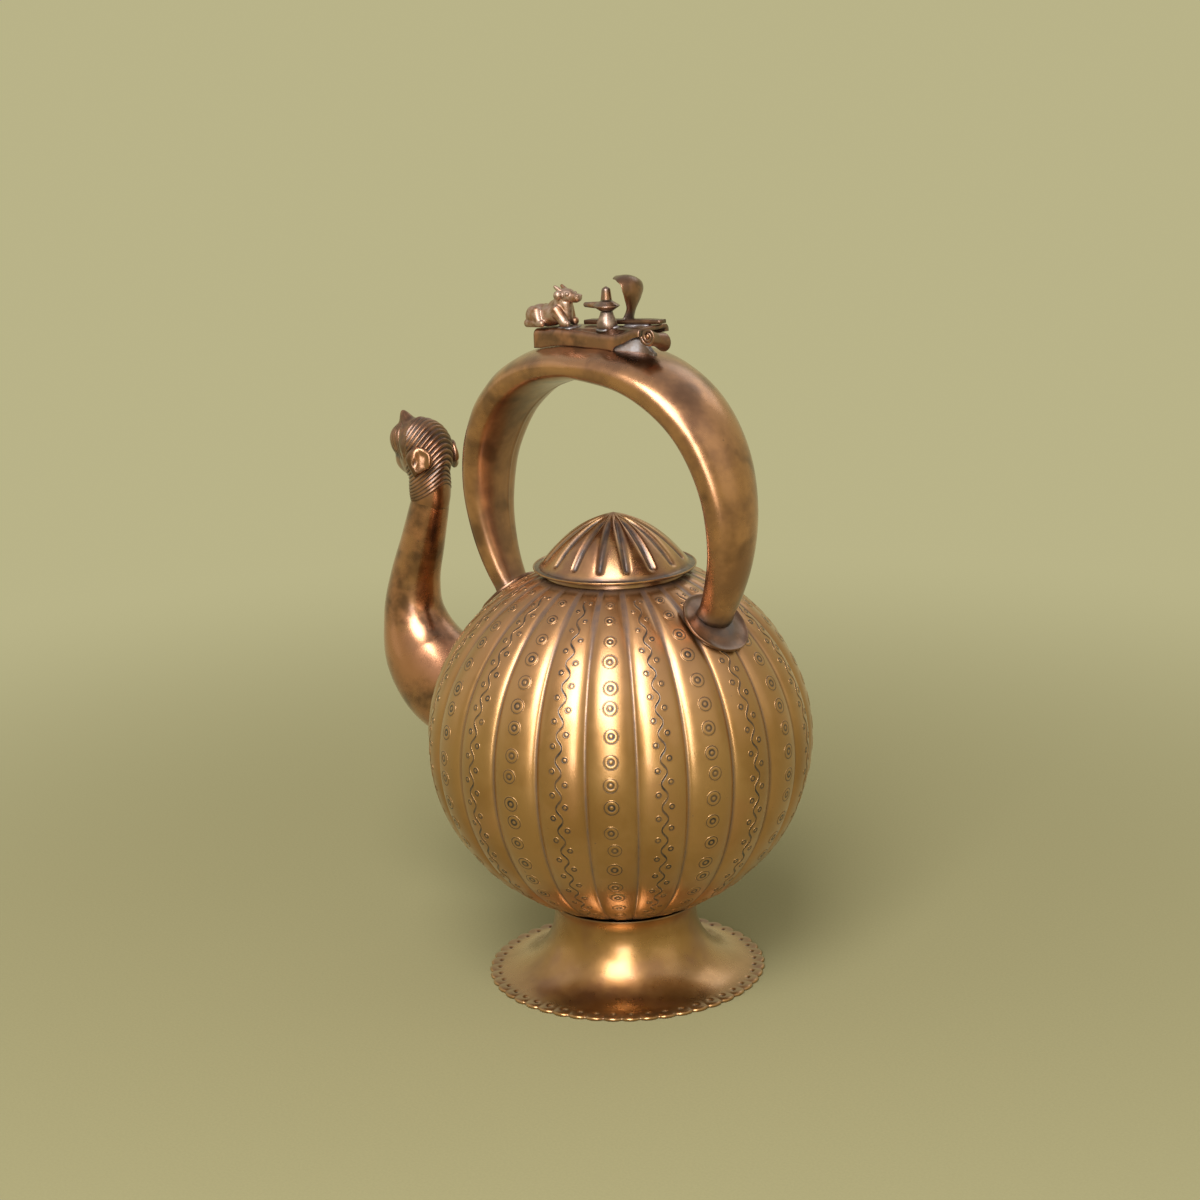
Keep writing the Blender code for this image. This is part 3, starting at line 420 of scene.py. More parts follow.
# A finish is its light, deep and dark tone, roughness, clouds to the metre, blush, strength of the
# hammer dents, and the two heights between which the blush grows.
FINISHES = {
    "pot_metal": ("gold", "olive", "violet", 0.34, 22.0, "brown", 0.05, POT_BLUSH),
    "chased_metal": ("gold", "olive", "soot", 0.34, 22.0, "brown", 0.05, POT_BLUSH),
    "lid_metal": ("gold", "umber", "dusk", 0.28, 50.0, "brown", 0.1, None),
    "foot_metal": ("gold", "olive", "soot", 0.28, 32.0, "umber", 0.08, None),
    "handle_metal": ("brown", "umber", "soot", 0.28, 38.0, "bark", 0.16, None),
    "spout_metal": ("copper", "bark", "soot", 0.25, 40.0, "brown", 0.1, None),
    "head_metal": ("umber", "bark", "dusk", 0.30, 90.0, "copper", 0.15, None),
    "plate_metal": ("umber", "bark", "dusk", 0.33, 70.0, "bark", 0.15, None),
    "platform_metal": ("umber", "bark", "dusk", 0.30, 80.0, "copper", 0.2, None),
    "bull_metal": ("rose", "umber", "bark", 0.46, 190.0, "bark", 0.3, None),
    "figure_metal": ("taupe", "umber", "soot", 0.34, 160.0, "rose", 0.3, None),
    "pedestal_metal": ("rose", "taupe", "violet", 0.42, 300.0, None, 0.9, None),
    "cobra_metal": ("bark", "bark", "dusk", 0.38, 90.0, "umber", 0.2, None),
    "solder_metal": ("solder", "taupe", "soot", 0.46, 180.0, None, 0.4, None),
}


def finish_named(name):
    """The metal of that name, made on first use from its finish and the scene's colours."""
    if name in bpy.data.materials:
        return bpy.data.materials[name]
    colours = bpy.context.scene.vessel_colours
    values = [tuple(getattr(colours, v)) if isinstance(v, str) else v for v in FINISHES[name]]
    return brass(name, *values)


def pot_across(pot, turn):
    """0 on a lobe's crest and 1 in the groove beside it: a zigzag of the turn."""
    return np.abs(2 * ((turn * pot.lobes / TURN) % 1) - 1)


def pot_band(pot, lat):
    """Share of a half lobe that is flat groove: it widens from the belly to the neck."""
    narrow_at, wide_at = 0.55, 1.12
    return pot.band_low + (pot.band_neck - pot.band_low) * smooth_step(narrow_at, wide_at, lat)


def pot_skin(pot, lat, turn):
    """Ellipsoid of revolution. Each lobe falls to its groove, partly by the square and partly by the
    fifth power of the way across, and a bell-shaped notch runs along the groove."""
    square_share, notch_width = 0.55, 0.045
    across = pot_across(pot, turn)
    inner = np.minimum(across / (1 - pot_band(pot, lat)), 1)
    drop = pot.lobe_depth * (square_share * inner**2 + (1 - square_share) * inner**5)
    notch = pot.notch * np.exp(-(((1 - across) / notch_width) ** 2))
    radius = np.cos(lat) * (pot.radius - drop - notch)
    height = pot.centre + pot.half_height * np.sin(lat)
    return joined(radius * np.cos(turn), radius * np.sin(turn), height)


def pot_lifted(pot, lat, turn, lift):
    """The pot's skin moved along its normal, which is square to its two directions."""
    step = 1e-3
    up = pot_skin(pot, lat + step, turn) - pot_skin(pot, lat - step, turn)
    side = pot_skin(pot, lat, turn + step) - pot_skin(pot, lat, turn - step)
    return pot_skin(pot, lat, turn) + unit(np.cross(side, up)) * np.asarray(lift)[..., None]


def pot_speed(pot, lat):
    """Length down a lobe for each radian of latitude."""
    return np.hypot(pot.radius * np.sin(lat), pot.half_height * np.cos(lat))


def pot_rows(pot, places):
    """Latitudes at shares of the length down a lobe, between the two ends of the chasing."""
    lat = np.linspace(CHASED_TO, -CHASED_TO, 600)
    speed = pot_speed(pot, lat)
    run = np.concatenate([[0], np.cumsum((speed[1:] + speed[:-1]) / 2 * -np.diff(lat))])
    return np.interp(places * run[-1], run, lat)


def pot_tarnish_and_shade(pot, lat, across):
    """Dark flat grooves and a darker line along each, as patina; painted shade as a dark ring at the seam
    over the foot, a darker underside above it, and a dark ring under the lid's brim.
    """
    edge = 1 - pot_band(pot, lat)
    groove = smooth_step(edge - 0.07, edge + 0.01, across) * (0.35 + 0.5 * smooth_step(0.3, 1.1, lat))
    line = 0.85 * smooth_step(0.93, 0.985, across)
    # Painted shade: a dark ring at the seam over the foot, and a darker underside above it.
    foot = 0.95 * smooth_step(-1.135, -1.165, lat) + 0.75 * smooth_step(-0.86, -1.06, lat)
    # Painted shade under the lid's brim.
    mouth = 0.8 * smooth_step(1.125, 1.16, lat)
    return darkest(groove, line, foot, mouth)


def pot_shell(pot):
    """The lobed skin from bottom to mouth, a little uneven, and a plain ellipsoid as the hollow."""
    bottom, uneven, clear = -1.46, 0.00015, 0.001
    angles = turns(pot.lobes * 22)
    top = math.acos((pot.mouth + pot.wall) / pot.radius)
    lat = np.linspace(bottom, top, 118)[:, None]
    outer = pot_skin(pot, lat, angles)
    outer[..., :2] *= 1 + uneven * wobble(outer, 95.0, 0.4)[..., None]
    hollow = pot.radius - pot.lobe_depth - clear - pot.wall
    low = np.linspace(math.acos(pot.mouth / hollow), bottom, 16)
    inner = [(hollow * math.cos(a), pot.centre + (pot.half_height - pot.wall) * math.sin(a)) for a in low]
    inside = lathe([(pot.mouth, pot.lip), *inner], angles)
    dark = pot_tarnish_and_shade(pot, lat, pot_across(pot, angles))
    tarnish = np.concatenate([dark, np.full(inside.shape[:2], INSIDE_TARNISH)])
    return capped(np.concatenate([outer, inside]), tarnish)


def lobe_middle(pot, lobe):
    """Turn of a lobe's crest."""
    return (lobe + 0.5) * TURN / pot.lobes


def narrowed(lat, gain=1.35, least=0.6):
    """Size of a mark on a lobe that narrows to the poles: a cosine, held between a least share and 1."""
    return np.clip(gain * np.cos(lat), least, 1.0)


def stamp_field(pot, lat, turn, size, stations, sides):
    """Closed discs on the pot: rings of (share of the radius, lift, tarnish) about each centre."""
    share, lift, dark = np.asarray(stations, float).T[..., None]
    lat, turn, size = (value.reshape(-1, 1, 1) for value in (lat, turn, size))
    angles = turns(sides)
    out = size * share
    lats = lat + out * np.sin(angles) / pot_speed(pot, lat)
    around = turn + out * np.cos(angles) / (pot.radius * np.cos(lat))
    points = pot_lifted(pot, lats, around, np.broadcast_to(lift, lats.shape))
    return [surface(disc, shade) for disc, shade in zip(points, np.broadcast_to(dark, lats.shape))]


def pot_circles(pot):
    """Double circles down every second lobe: a faint outer line, and a deep ring round a bright dot."""
    lobe, row = np.meshgrid(np.arange(0, pot.lobes, 2), np.arange(pot.circles), indexing="ij")
    seed = lobe * 31.0 + row
    lat = pot_rows(pot, (row + 0.5 + 0.1 * scatter(seed, 1.0)) / pot.circles)
    turn = lobe_middle(pot, lobe) + 0.008 * scatter(seed, 2.0)
    size = pot.circle * narrowed(lat, 1.3, 0.62) * (1 + 0.05 * scatter(seed, 3.0))
    stations = [
        (0.0, 0.00016, 0.0),
        (0.19, 0.00014, 0.05),
        (0.27, 0.00002, 1.0),
        (0.46, 0.00002, 1.0),
        (0.55, 0.00015, 0.0),
        (0.82, 0.00012, 0.0),
        (0.88, 0.00003, 1.0),
        (0.93, 0.00003, 1.0),
        (1.0, 0.00013, 0.0),
        (1.1, -0.0001, 0.0),
        (0.0, -0.0002, 0.0),
    ]
    return stamp_field(pot, lat, turn, size, stations, sides=14)


def pot_small_circles(pot):
    """Single circles in the bends of each wave, to either side by turns."""
    lobe, half = np.meshgrid(np.arange(1, pot.lobes, 2), np.arange(2 * pot.waves - 1), indexing="ij")
    seed = lobe * 57.0 + half
    lat = pot_rows(pot, (half / 2 + 0.5 + 0.03 * scatter(seed, 4.0)) / pot.waves)
    way = np.where(half % 2 == 0, 1.0, -1.0)
    size = pot.small_circle * narrowed(lat)
    offset = way * (pot.sway + 0.95 * size) * (1 + 0.06 * scatter(seed, 5.0))
    turn = lobe_middle(pot, lobe) + offset / (pot.radius * np.cos(lat))
    stations = [
        (0.0, 0.00012, 0.0),
        (0.36, 0.00011, 0.05),
        (0.52, 0.00002, 1.0),
        (0.80, 0.00002, 1.0),
        (0.97, 0.00014, 0.0),
        (1.18, -0.0001, 0.0),
        (0.0, -0.0002, 0.0),
    ]
    return stamp_field(pot, lat, turn, size, stations, sides=11)


def pot_waves(pot):
    """A chased line that swings as a cosine, thick on its slopes and thin in its bends. Its section is
    rows of (side of the line, distance beyond its edge, lift, tarnish)."""
    end_gap, thin, swell = 0.35, 0.00018, 0.00034
    row = np.linspace(end_gap, pot.waves - end_gap, pot.waves * 20)[:, None]
    half = thin + swell * np.abs(np.sin(TURN * row)) ** 1.5
    section = [
        (-1, -0.0005, -0.0001, 0.0),
        (-1, -0.00016, 0.00014, 0.0),
        (-1, 0.0, 0.00002, 1.0),
        (1, 0.0, 0.00002, 1.0),
        (1, 0.00016, 0.00014, 0.0),
        (1, 0.0005, -0.0001, 0.0),
        (0, 0.0, -0.0003, 0.0),
    ]
    side, beyond, lift, dark = np.array(section).T
    parts = []
    for lobe in range(1, pot.lobes, 2):
        lat = pot_rows(pot, (row + 0.06 * scatter(lobe, 6.0)) / pot.waves)
        bend = pot.sway * narrowed(lat) * np.cos(TURN * row)
        turn = lobe_middle(pot, lobe) + (bend + side * half + beyond) / (pot.radius * np.cos(lat))
        parts.append(capped(pot_lifted(pot, lat, turn, lift), dark))
    return parts


def foot_shell(foot):
    """Trumpet, a quarter ellipse carried round the axis. Towards the rim its rows follow the scallops,
    each with a swell and a bell-shaped dimple. The hollow is a plain trumpet."""
    ease, undercut, dimple_in, rest_in = 0.0004, 0.0003, 0.0047, 0.0045
    swell_height, dimple_depth, rim_fall, hollow_lift = 0.00045, 0.0007, 0.0005, 0.0011
    angles = turns(foot.scallops * 14)
    lobe = np.abs(np.sin(angles * foot.scallops / 2))
    edge = foot.rim - foot.scallop_depth * (1 - lobe) ** 1.3
    waist_z = 0.82 * foot.height
    flare = (foot.rim - foot.waist) * 0.9
    neck = [
        (foot.neck + ease, foot.height - ease),
        (foot.neck, foot.height - 3 * ease),
        (foot.waist + ease, 0.9 * foot.height),
        (foot.waist, waist_z),
    ]
    fall = waist_z - foot.rim_height - ease
    bend = np.linspace(0, math.pi / 2, 34)[1:-4]
    trumpet = [(foot.waist + flare * (1 - math.cos(t)), waist_z - fall * math.sin(t)) for t in bend]
    upper = lathe(neck + trumpet, angles)

    inner_r, inner_z = trumpet[-1]
    share = np.linspace(0, 1, 22)[1:, None]
    radius = inner_r + (edge - inner_r) * share
    centre = (np.round(angles * foot.scallops / TURN - 0.5) + 0.5) * TURN / foot.scallops
    away = (radius - foot.rim + dimple_in) ** 2 + (radius * (angles - centre)) ** 2
    dip = np.exp(-((away / foot.dimple**2) ** 1.6))
    height = inner_z + (foot.rim_height - inner_z) * share**0.8
    height = height + swell_height * lobe**0.8 * smooth_step(0.35, 0.85, share)
    height = height - dimple_depth * dip - rim_fall * smooth_step(0.9, 1.0, share)
    brim = joined(radius * np.cos(angles), radius * np.sin(angles), height)

    under = edge - undercut
    under = joined(under * np.cos(angles), under * np.sin(angles), 0.0)[None]
    bore, roof = foot.waist - foot.wall, waist_z - foot.wall
    hollow = [(foot.rim - rest_in, 0.0)]
    for t in np.linspace(math.pi / 2, 0, 14)[1:]:
        hollow.append((bore + flare * (1 - math.cos(t)), roof * (1 - math.sin(t)) + hollow_lift))
    hollow.append((foot.neck - foot.wall, foot.height - 0.001))

    points = np.concatenate([upper, brim, under, lathe(hollow, angles)])
    dark = np.zeros(points.shape[:2])
    # Painted shade along the top of the neck, under the pot's seam.
    dark[0] = 0.6
    dark[1] = 0.3
    ring = 0.35 * smooth_step(0.1, 0.7, share) * (1 - smooth_step(0.86, 0.98, share))
    gap = 0.6 * (1 - smooth_step(0.0, 0.45, lobe)) * smooth_step(0.6, 0.9, share)
    outside = len(upper) + len(brim)
    dark[len(upper) : outside] = darkest(ring, gap, dip)
    dark[outside:] = INSIDE_TARNISH
    return surface(points, dark, wrap_rows=True)


def dome_height(share):
    """Height of the dome at a share of its radius, from 1 at the middle to 0 at the edge."""
    return 1 - 0.38 * share - 0.62 * share**2.5


def lid_dome(lid, angles, base, rise):
    """Ogee dome with dark patina in its grooves and painted shade along its lower edge. Tapered grooves,
    bells across the dome, are pushed in along its normal, with a faint lip beside each."""
    lip_share = 0.04
    share = np.linspace(0.0, 1.0, 64)[:, None]
    radius = lid.dome * share
    nearest = np.round((angles - lid.flute_turn) * lid.flutes / TURN) * TURN / lid.flutes + lid.flute_turn
    side = np.abs(radius * (angles - nearest))
    taper = lid.flute_width * (0.12 + 0.88 * np.sin(math.pi * np.clip((share - 0.1) / 1.1, 0, 1)) ** 0.8)
    reach = smooth_step(0.05, 0.32, share) * (1 - smooth_step(0.915, 0.955, share))
    groove = reach * np.exp(-((side / (1.25 * taper)) ** 2.2))
    lip = reach * np.exp(-(((side - 1.35 * taper) / (0.5 * taper)) ** 2))
    slope = rise / lid.dome * (-0.38 - 1.55 * share**1.5)
    norm = np.hypot(slope, 1)
    push = lid.flute_depth * (-groove + lip_share * lip)
    out = radius - push * slope / norm
    height = base + rise * dome_height(share) + push / norm
    # Patina in the grooves, and painted shade of the recess along the dome's lower edge.
    dark = darkest(0.95 * smooth_step(0.1, 0.85, groove), 0.8 * smooth_step(0.965, 1.0, share))
    return joined(out * np.cos(angles), out * np.sin(angles), height), dark


def lid_shell(lid):
    """The fluted dome, a recess round it that is dark with patina and painted shade, and a sloping brim
    with a bead at its edge and painted shade under the bead, turned from rows of (distance past the
    brim's radius, height, patina and painted shade). The hollow follows the dome."""
    dome_lift, margin, crown, least_wall, flat = 0.0015, 0.006, 0.0034, 0.001, 0.0008
    angles = turns(lid.flutes * 22)
    base = lid.seat + dome_lift
    rise = lid.seat + lid.height - base
    dome, dome_dark = lid_dome(lid, angles, base, rise)
    steps = [
        # Recess between dome and bead: dark patina and painted shade.
        (-0.0028, 0.0012, 0.9),
        (-0.0021, 0.0010, 1.0),
        (-0.0014, 0.0009, 1.0),
        (-0.0009, 0.0008, 0.9),
        (-0.0007, 0.0007, 1.0),
        (-0.0005, 0.0010, 0.2),
        (-0.00025, 0.0012, 0.0),
        (-0.00008, 0.0011, 0.0),
        (0.0, 0.0009, 0.0),
        # Under the bead and under the brim: painted shade.
        (-0.00005, 0.0006, 0.25),
        (-0.0004, 0.0003, 0.9),
        (-0.0006, 0.0, 0.95),
        (-0.0090, 0.0, 0.6),
        (-0.0094, 0.0007, 0.6),
    ]
    out, up, shade = np.array(steps).T
    brim = lathe(np.stack([lid.brim + out, lid.seat + up], axis=-1), angles)
    share = np.linspace(0.95, 0, 14)
    ceiling = base + rise * dome_height(share) - crown * (1 - 0.2 * share) - least_wall
    hollow = np.stack([(lid.dome - margin) * share, np.maximum(ceiling, lid.seat + flat)], axis=-1)
    inside = lathe(hollow, angles)
    brim_dark = np.broadcast_to(shade[:, None], brim.shape[:2])
    inside_dark = np.full(inside.shape[:2], INSIDE_TARNISH)
    return surface(np.concatenate([dome, brim, inside]), np.concatenate([dome_dark, brim_dark, inside_dark]))


def sleeve_shell(outer, low, high):
    """Short turned tube with eased edges."""
    ease = 0.0004
    inner = outer - TUBE_WALL
    profile = [
        (outer - ease, low),
        (outer, low + ease),
        (outer, high - ease),
        (outer - ease, high),
        (inner + ease, high),
        (inner, high - ease),
        (inner, low + ease),
        (inner + ease, low),
    ]
    return surface(lathe(profile, turns(144)), 0.25, wrap_rows=True)


def spout_line(pot, spout):
    """Centre line in the XZ plane with its radius, and its heading: a smooth curve through places of
    (distance out, height over the pot's middle, radius), from the pot's side up to the head."""
    path = [
        (-0.0100, 0.0010, 0.0195),
        (0.0150, 0.0050, 0.0218),
        (0.0320, 0.0195, 0.0198),
        (0.0390, 0.0375, 0.0146),
        (0.0375, 0.0545, 0.0118),
        (0.0312, 0.0735, 0.0102),
        (0.0250, 0.0930, 0.0088),
        (0.0250, 0.0965, 0.0079),
    ]
    line = smooth_curve([(-(spout.root + out), pot.centre + up, radius) for out, up, radius in path], 110)
    line[0, 0] += spout.sink
    heading = unit(np.gradient(line[:, :2], axis=0))
    heading[0] = (-1, 0)
    heading[-1] = (0, 1)
    return line, heading


def spout_tube(pot, spout):
    """Circle carried along the spout's centre line, a little uneven, closed at both ends."""
    uneven, solder_reach = 0.008, 0.004
    line, heading = spout_line(pot, spout)
    angles = turns(72)
    radius = line[:, 2, None] * (1 + uneven * np.sin(3 * angles + 40 * line[:, 1, None]))
    side = radius * np.cos(angles)
    x = line[:, 0, None] - heading[:, 1, None] * side
    y = radius * np.sin(angles)
    z = line[:, 1, None] + heading[:, 0, None] * side
    level = np.clip(1 - ((z - pot.centre) / pot.half_height) ** 2, 0, 1)
    from_pot = np.hypot(x, y) - pot.radius * np.sqrt(level)
    return capped(joined(x, y, z), 0.75 * (1 - smooth_step(0.0, solder_reach, from_pot)))


def far_hits(direction, centre, half_axes, pitch):
    """Distance along rays from the origin to the far side of an ellipsoid that is tipped about Y."""
    c, s = math.cos(pitch), math.sin(pitch)
    turn = np.array(((c, 0, s), (0, 1, 0), (-s, 0, c)))
    start = -(np.array(centre) @ turn) / half_axes
    ray = direction @ turn / half_axes
    a = (ray**2).sum(-1)
    b = ray @ start
    return (-b + np.sqrt(np.maximum(b**2 - a * (start @ start - 1), 0))) / a


def head_reach(ray, middle):
    """Distance from the middle in every direction: the softened greatest reach of six ellipsoids, each
    (centre, half axes, pitch), as the logarithm of a sum of exponentials."""
    sharp, usual = 1500.0, 0.02
    forms = [
        ((-0.0012, 0, 0.0228), (0.0124, 0.0116, 0.0146), 0.0),
        ((-0.0080, 0, 0.0262), (0.0138, 0.0090, 0.0098), 0.2),
        ((-0.0066, 0, 0.0168), (0.0122, 0.0076, 0.0062), 0.15),
        ((0.0003, 0, 0.0070), (0.0096, 0.0094, 0.0190), 0.0),
        ((-0.0085, 0, 0.0212), (0.0119, 0.0074, 0.0074), 0.25),
        ((-0.0035, 0, 0.0260), (0.0110, 0.0112, 0.0090), 0.3),
    ]
    hits = (far_hits(ray, np.array(centre) - middle, np.array(half), pitch) for centre, half, pitch in forms)
    return np.log(sum(np.exp(sharp * (hit - usual)) for hit in hits)) / sharp + usual


def head_mane(spout, x, y, z):
    """Push and tarnish of the mane: ridges, powers of a sine, at equal angles about a point before the
    neck, behind a hairline of (height, x) and over a sloping lower edge."""
    hairline = ((0, 0.008, 0.012, 0.020, 0.027, 0.036), (-0.030, -0.020, -0.008, -0.002, -0.0025, -0.006))
    risen = z - 0.6 * (0.0094 - np.hypot(y, 0.0030))
    ray_turn = np.arctan2(risen + 0.008, x + 0.030)
    lock = np.abs(np.sin(math.pi * ray_turn / spout.lock)) ** 0.7
    behind = smooth_step(-0.0008, 0.0008, x - np.interp(z, *hairline))
    hair = behind * smooth_step(-0.0004, 0.0004, risen - 0.0014 - 0.343 * x)
    push = spout.ridge * hair * (1.25 + 0.35 * np.sin(9.0 * ray_turn + 260.0 * x)) * (lock - 0.45)
    return push, hair * np.clip(1.25 * (1 - lock) ** 0.8, 0, 1)


def bump(spot, at, size, lift):
    """Bell of the distance from a point, or from its mirror image if that is nearer."""
    away = [((spot - np.array((at[0], side * at[1], at[2]))) ** 2).sum(-1) for side in (-1, 1)]
    return lift * np.exp(-np.minimum(*away) / size**2)


def head_shell(spout):
    """Beast head as one distance in every direction from a middle, with the mane's locks, bumps for
    beads, forelock, brow and eyes, and bell-shaped creases for cheeks and mouth. Its lower end is flat."""
    beads, bead_size, bead_lift, base = 8, 0.0010, 0.0007, -0.0030
    creases, crease_width, crease_depth, mouth_depth = 4, 0.0004, 0.0008, 0.0007
    ray = sphere(230, 300)
    middle = np.array((-0.0020, 0.0, 0.0200))
    reach = head_reach(ray, middle)
    spot = middle + ray * reach[..., None]
    x, y, z = spot[..., 0], np.abs(spot[..., 1]), spot[..., 2]
    push, dark = head_mane(spout, x, y, z)
    for at in np.linspace((-0.0096, 0.0066, 0.0345), (-0.0044, 0.0108, 0.0225), beads):
        push = push + bump(spot, at, bead_size, bead_lift)
    for at, size, lift in (
        ((-0.0122, 0.0, 0.0362), 0.0027, 0.0052),
        ((-0.0070, 0.0, 0.0362), 0.0045, 0.0014),
        ((-0.0140, 0.0055, 0.0300), 0.0028, 0.0010),
        ((-0.0125, 0.0070, 0.0270), 0.0016, 0.0007),
    ):
        push = push + bump(spot, at, size, lift)
    cheek = smooth_step(0.019, 0.023, z) * (1 - smooth_step(0.035, 0.038, z)) * smooth_step(0.002, 0.005, y)
    for k in range(creases):
        away = x + 0.0095 + 0.0022 * k + 0.30 * (z - 0.028)
        line = np.exp(-((away / crease_width) ** 2)) * cheek
        push = push - crease_depth * line
        dark = np.maximum(dark, 0.85 * line)
    mouth = smooth_step(-0.008, -0.014, x) * np.exp(-(((z - 0.0212 + 0.05 * (x + 0.02)) / 0.0015) ** 2))
    push = push - mouth_depth * mouth
    spot = middle + ray * (reach + push)[..., None]
    spot[..., 2] = np.maximum(spot[..., 2], base)
    return surface(spot, np.maximum(dark, mouth))


def head_ear(side):
    """Thick leaf: a flattened ellipsoid, round above and pointed below, with a slit and one dished half."""
    half_width, half_length, half_thick, dish, slit = 0.0062, 0.0064, 0.0026, 0.0017, 0.0012
    rows = np.linspace(0, math.pi, 48)[:, None]
    angles = turns(60)
    along = np.cos(rows)
    point = np.where(along < 0, np.abs(along) ** 1.4, 0)
    a = half_width * np.sin(rows) * (1 - 0.62 * point) * np.cos(angles)
    c = half_length * along * (1 + 0.18 * point) + 0 * angles
    out = half_thick * np.sin(rows) ** 0.8 * np.sin(angles)
    face = (out > 0) * np.exp(-(((a - 0.0019 + 0.2 * c) / 0.0027) ** 4 + ((c - 0.0004) / 0.0042) ** 4))
    fold = (out > 0) * np.exp(-(((a + 0.0014 + 0.1 * c) / 0.0006) ** 2 + ((c + 0.0010) / 0.0016) ** 2))
    out = out - dish * face - slit * fold
    normal = unit(np.array((0.52, side * 0.84, 0.12)))
    length_way = np.array((0.28, side * -0.02, 0.97))
    length_way = unit(length_way - normal * (length_way @ normal))
    width_way = np.cross(length_way, normal) * -side
    middle = np.array((0.0050, side * 0.0114, 0.0208))
    points = middle + a[..., None] * width_way + c[..., None] * length_way + out[..., None] * normal
    return surface(points, np.clip(0.9 * fold + 0.7 * (out < -0.0004), 0, 1))


def handle_line(handle, turn):
    """Centre of the arch at an angle from its crown, by three cosine waves of the radius, with its half
    thickness and half width, which change by the square of the angle."""
    radius = handle.radius + handle.flatten * np.cos(turn)
    radius = radius + handle.squash * np.cos(2 * turn) + handle.point * np.cos(3 * turn)
    centre = joined(handle.shift + radius * np.sin(turn), 0.0, handle.centre + radius * np.cos(turn))
    share = np.abs(turn) / handle.span
    thick = handle.thick + handle.thick_growth * share - handle.thick_fall * share**2
    width = handle.width - handle.width_fall * share - handle.width_curve * share**2
    return centre, thick / 2, width / 2


def handle_outward(handle, turn):
    """Direction out of the arch: square to its heading, which is read over a small step."""
    step = 1e-4
    along = unit(handle_line(handle, turn + step)[0] - handle_line(handle, turn - step)[0])
    return joined(-along[:, 2], 0.0, along[:, 0])


def handle_strap(pot, handle):
    """Oval carried along the arch from pot to pot, flatter on its inner face, with a seam line there and
    painted shade over that face, a swollen dark foot at each end, and a little unevenness."""
    touch, foot_swell, uneven_height = 1.012, 0.10, 0.00022
    seam_place, seam_width, seam_depth = 0.34, 0.035, 0.03
    sweep = np.linspace(1.2, 2.8, 4000)
    ends = []
    for way in (-1, 1):
        x, _, z = handle_line(handle, way * sweep)[0].T
        inside = (x / pot.radius) ** 2 + ((z - pot.centre) / pot.half_height) ** 2 < touch
        ends.append(way * sweep[inside][0])
    turn = np.linspace(*ends, 190)
    centre, half_thick, half_width = handle_line(handle, turn)
    outward = handle_outward(handle, turn)
    angles = turns(128)
    c, s = np.cos(angles), np.sin(angles)
    inner = c < 0
    out = np.where(inner, -np.abs(c) ** 0.72, c)
    side = np.where(inner, np.sign(s) * np.abs(s) ** 0.9, s)
    span = np.linspace(0, 1, len(turn))[:, None]
    near_end = np.minimum(span, 1 - span)
    seam = inner * np.exp(-(((side - seam_place) / seam_width) ** 2)) * smooth_step(0.02, 0.1, near_end)
    swell = 1 + foot_swell * (1 - smooth_step(0.0, 0.012, near_end))
    out = out * swell - seam_depth * seam
    points = centre[:, None] + (half_thick[:, None] * out)[..., None] * outward[:, None]
    points[..., 1] += half_width[:, None] * side * swell
    points = points + (uneven_height * wobble(points, 150.0, 2.2))[..., None] * outward[:, None]
    foot = 0.9 * (1 - smooth_step(0.0, 0.02, near_end))
    # The inner face, towards the pot, carries painted shade.
    return capped(points, darkest(0.6 * seam, foot, 0.35 * inner * smooth_step(0.3, 0.9, -out)))


def plate_shell(pot, handle, node):
    """Round dished plate: rows of (share of the radius, lift, tarnish) turned on the pot's shoulder about
    the middle of its CAD node, with an uneven rim."""
    profile = [
        (0.0, 0.0012, 0.9),
        (0.30, 0.0012, 0.9),
        (0.50, 0.0013, 0.85),
        (0.58, 0.0013, 0.5),
        (0.70, 0.0013, 0.3),
        (0.84, 0.0015, 0.3),
        (0.92, 0.0018, 0.4),
        (0.955, 0.0021, 0.2),
        (0.985, 0.0023, 0.0),
        (1.0, 0.0021, 0.0),
        (0.995, 0.0012, 0.6),
        (0.97, 0.0002, 0.95),
        (0.5, 0.0001, 0.9),
        (0.0, 0.0001, 0.9),
    ]
    rim_from = 0.6
    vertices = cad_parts[node].data.vertices
    points = np.empty(len(vertices) * 3)
    vertices.foreach_get("co", points)
    points = points.reshape(-1, 3) - (AXIS_X, 0, 0)
    shape = np.array((pot.radius, pot.radius, pot.half_height))
    middle = np.array((0, 0, pot.centre))

    def on_pot(spots):
        """Spots moved to the pot's ellipsoid along the ray from its middle, with the normals there."""
        away = spots - middle
        found = away / np.linalg.norm(away / shape, axis=-1, keepdims=True)
        return middle + found, unit(found / shape**2)

    centre, normal = on_pot(points.mean(axis=0))
    across = np.array((0.0, 1.0, 0.0))
    down = np.cross(normal, across)
    share, lift, dark = np.array(profile).T[..., None]
    angles = turns(96)
    ring = np.cos(angles)[:, None] * across + np.sin(angles)[:, None] * down
    flat, normals = on_pot(centre + (handle.plate * share)[..., None] * ring)
    uneven = 1 + 0.08 * np.sin(3 * angles) + 0.05 * np.sin(7 * angles + 1)
    height = lift * np.where(share > rim_from, uneven, 1)
    return surface(flat + height[..., None] * normals, dark)


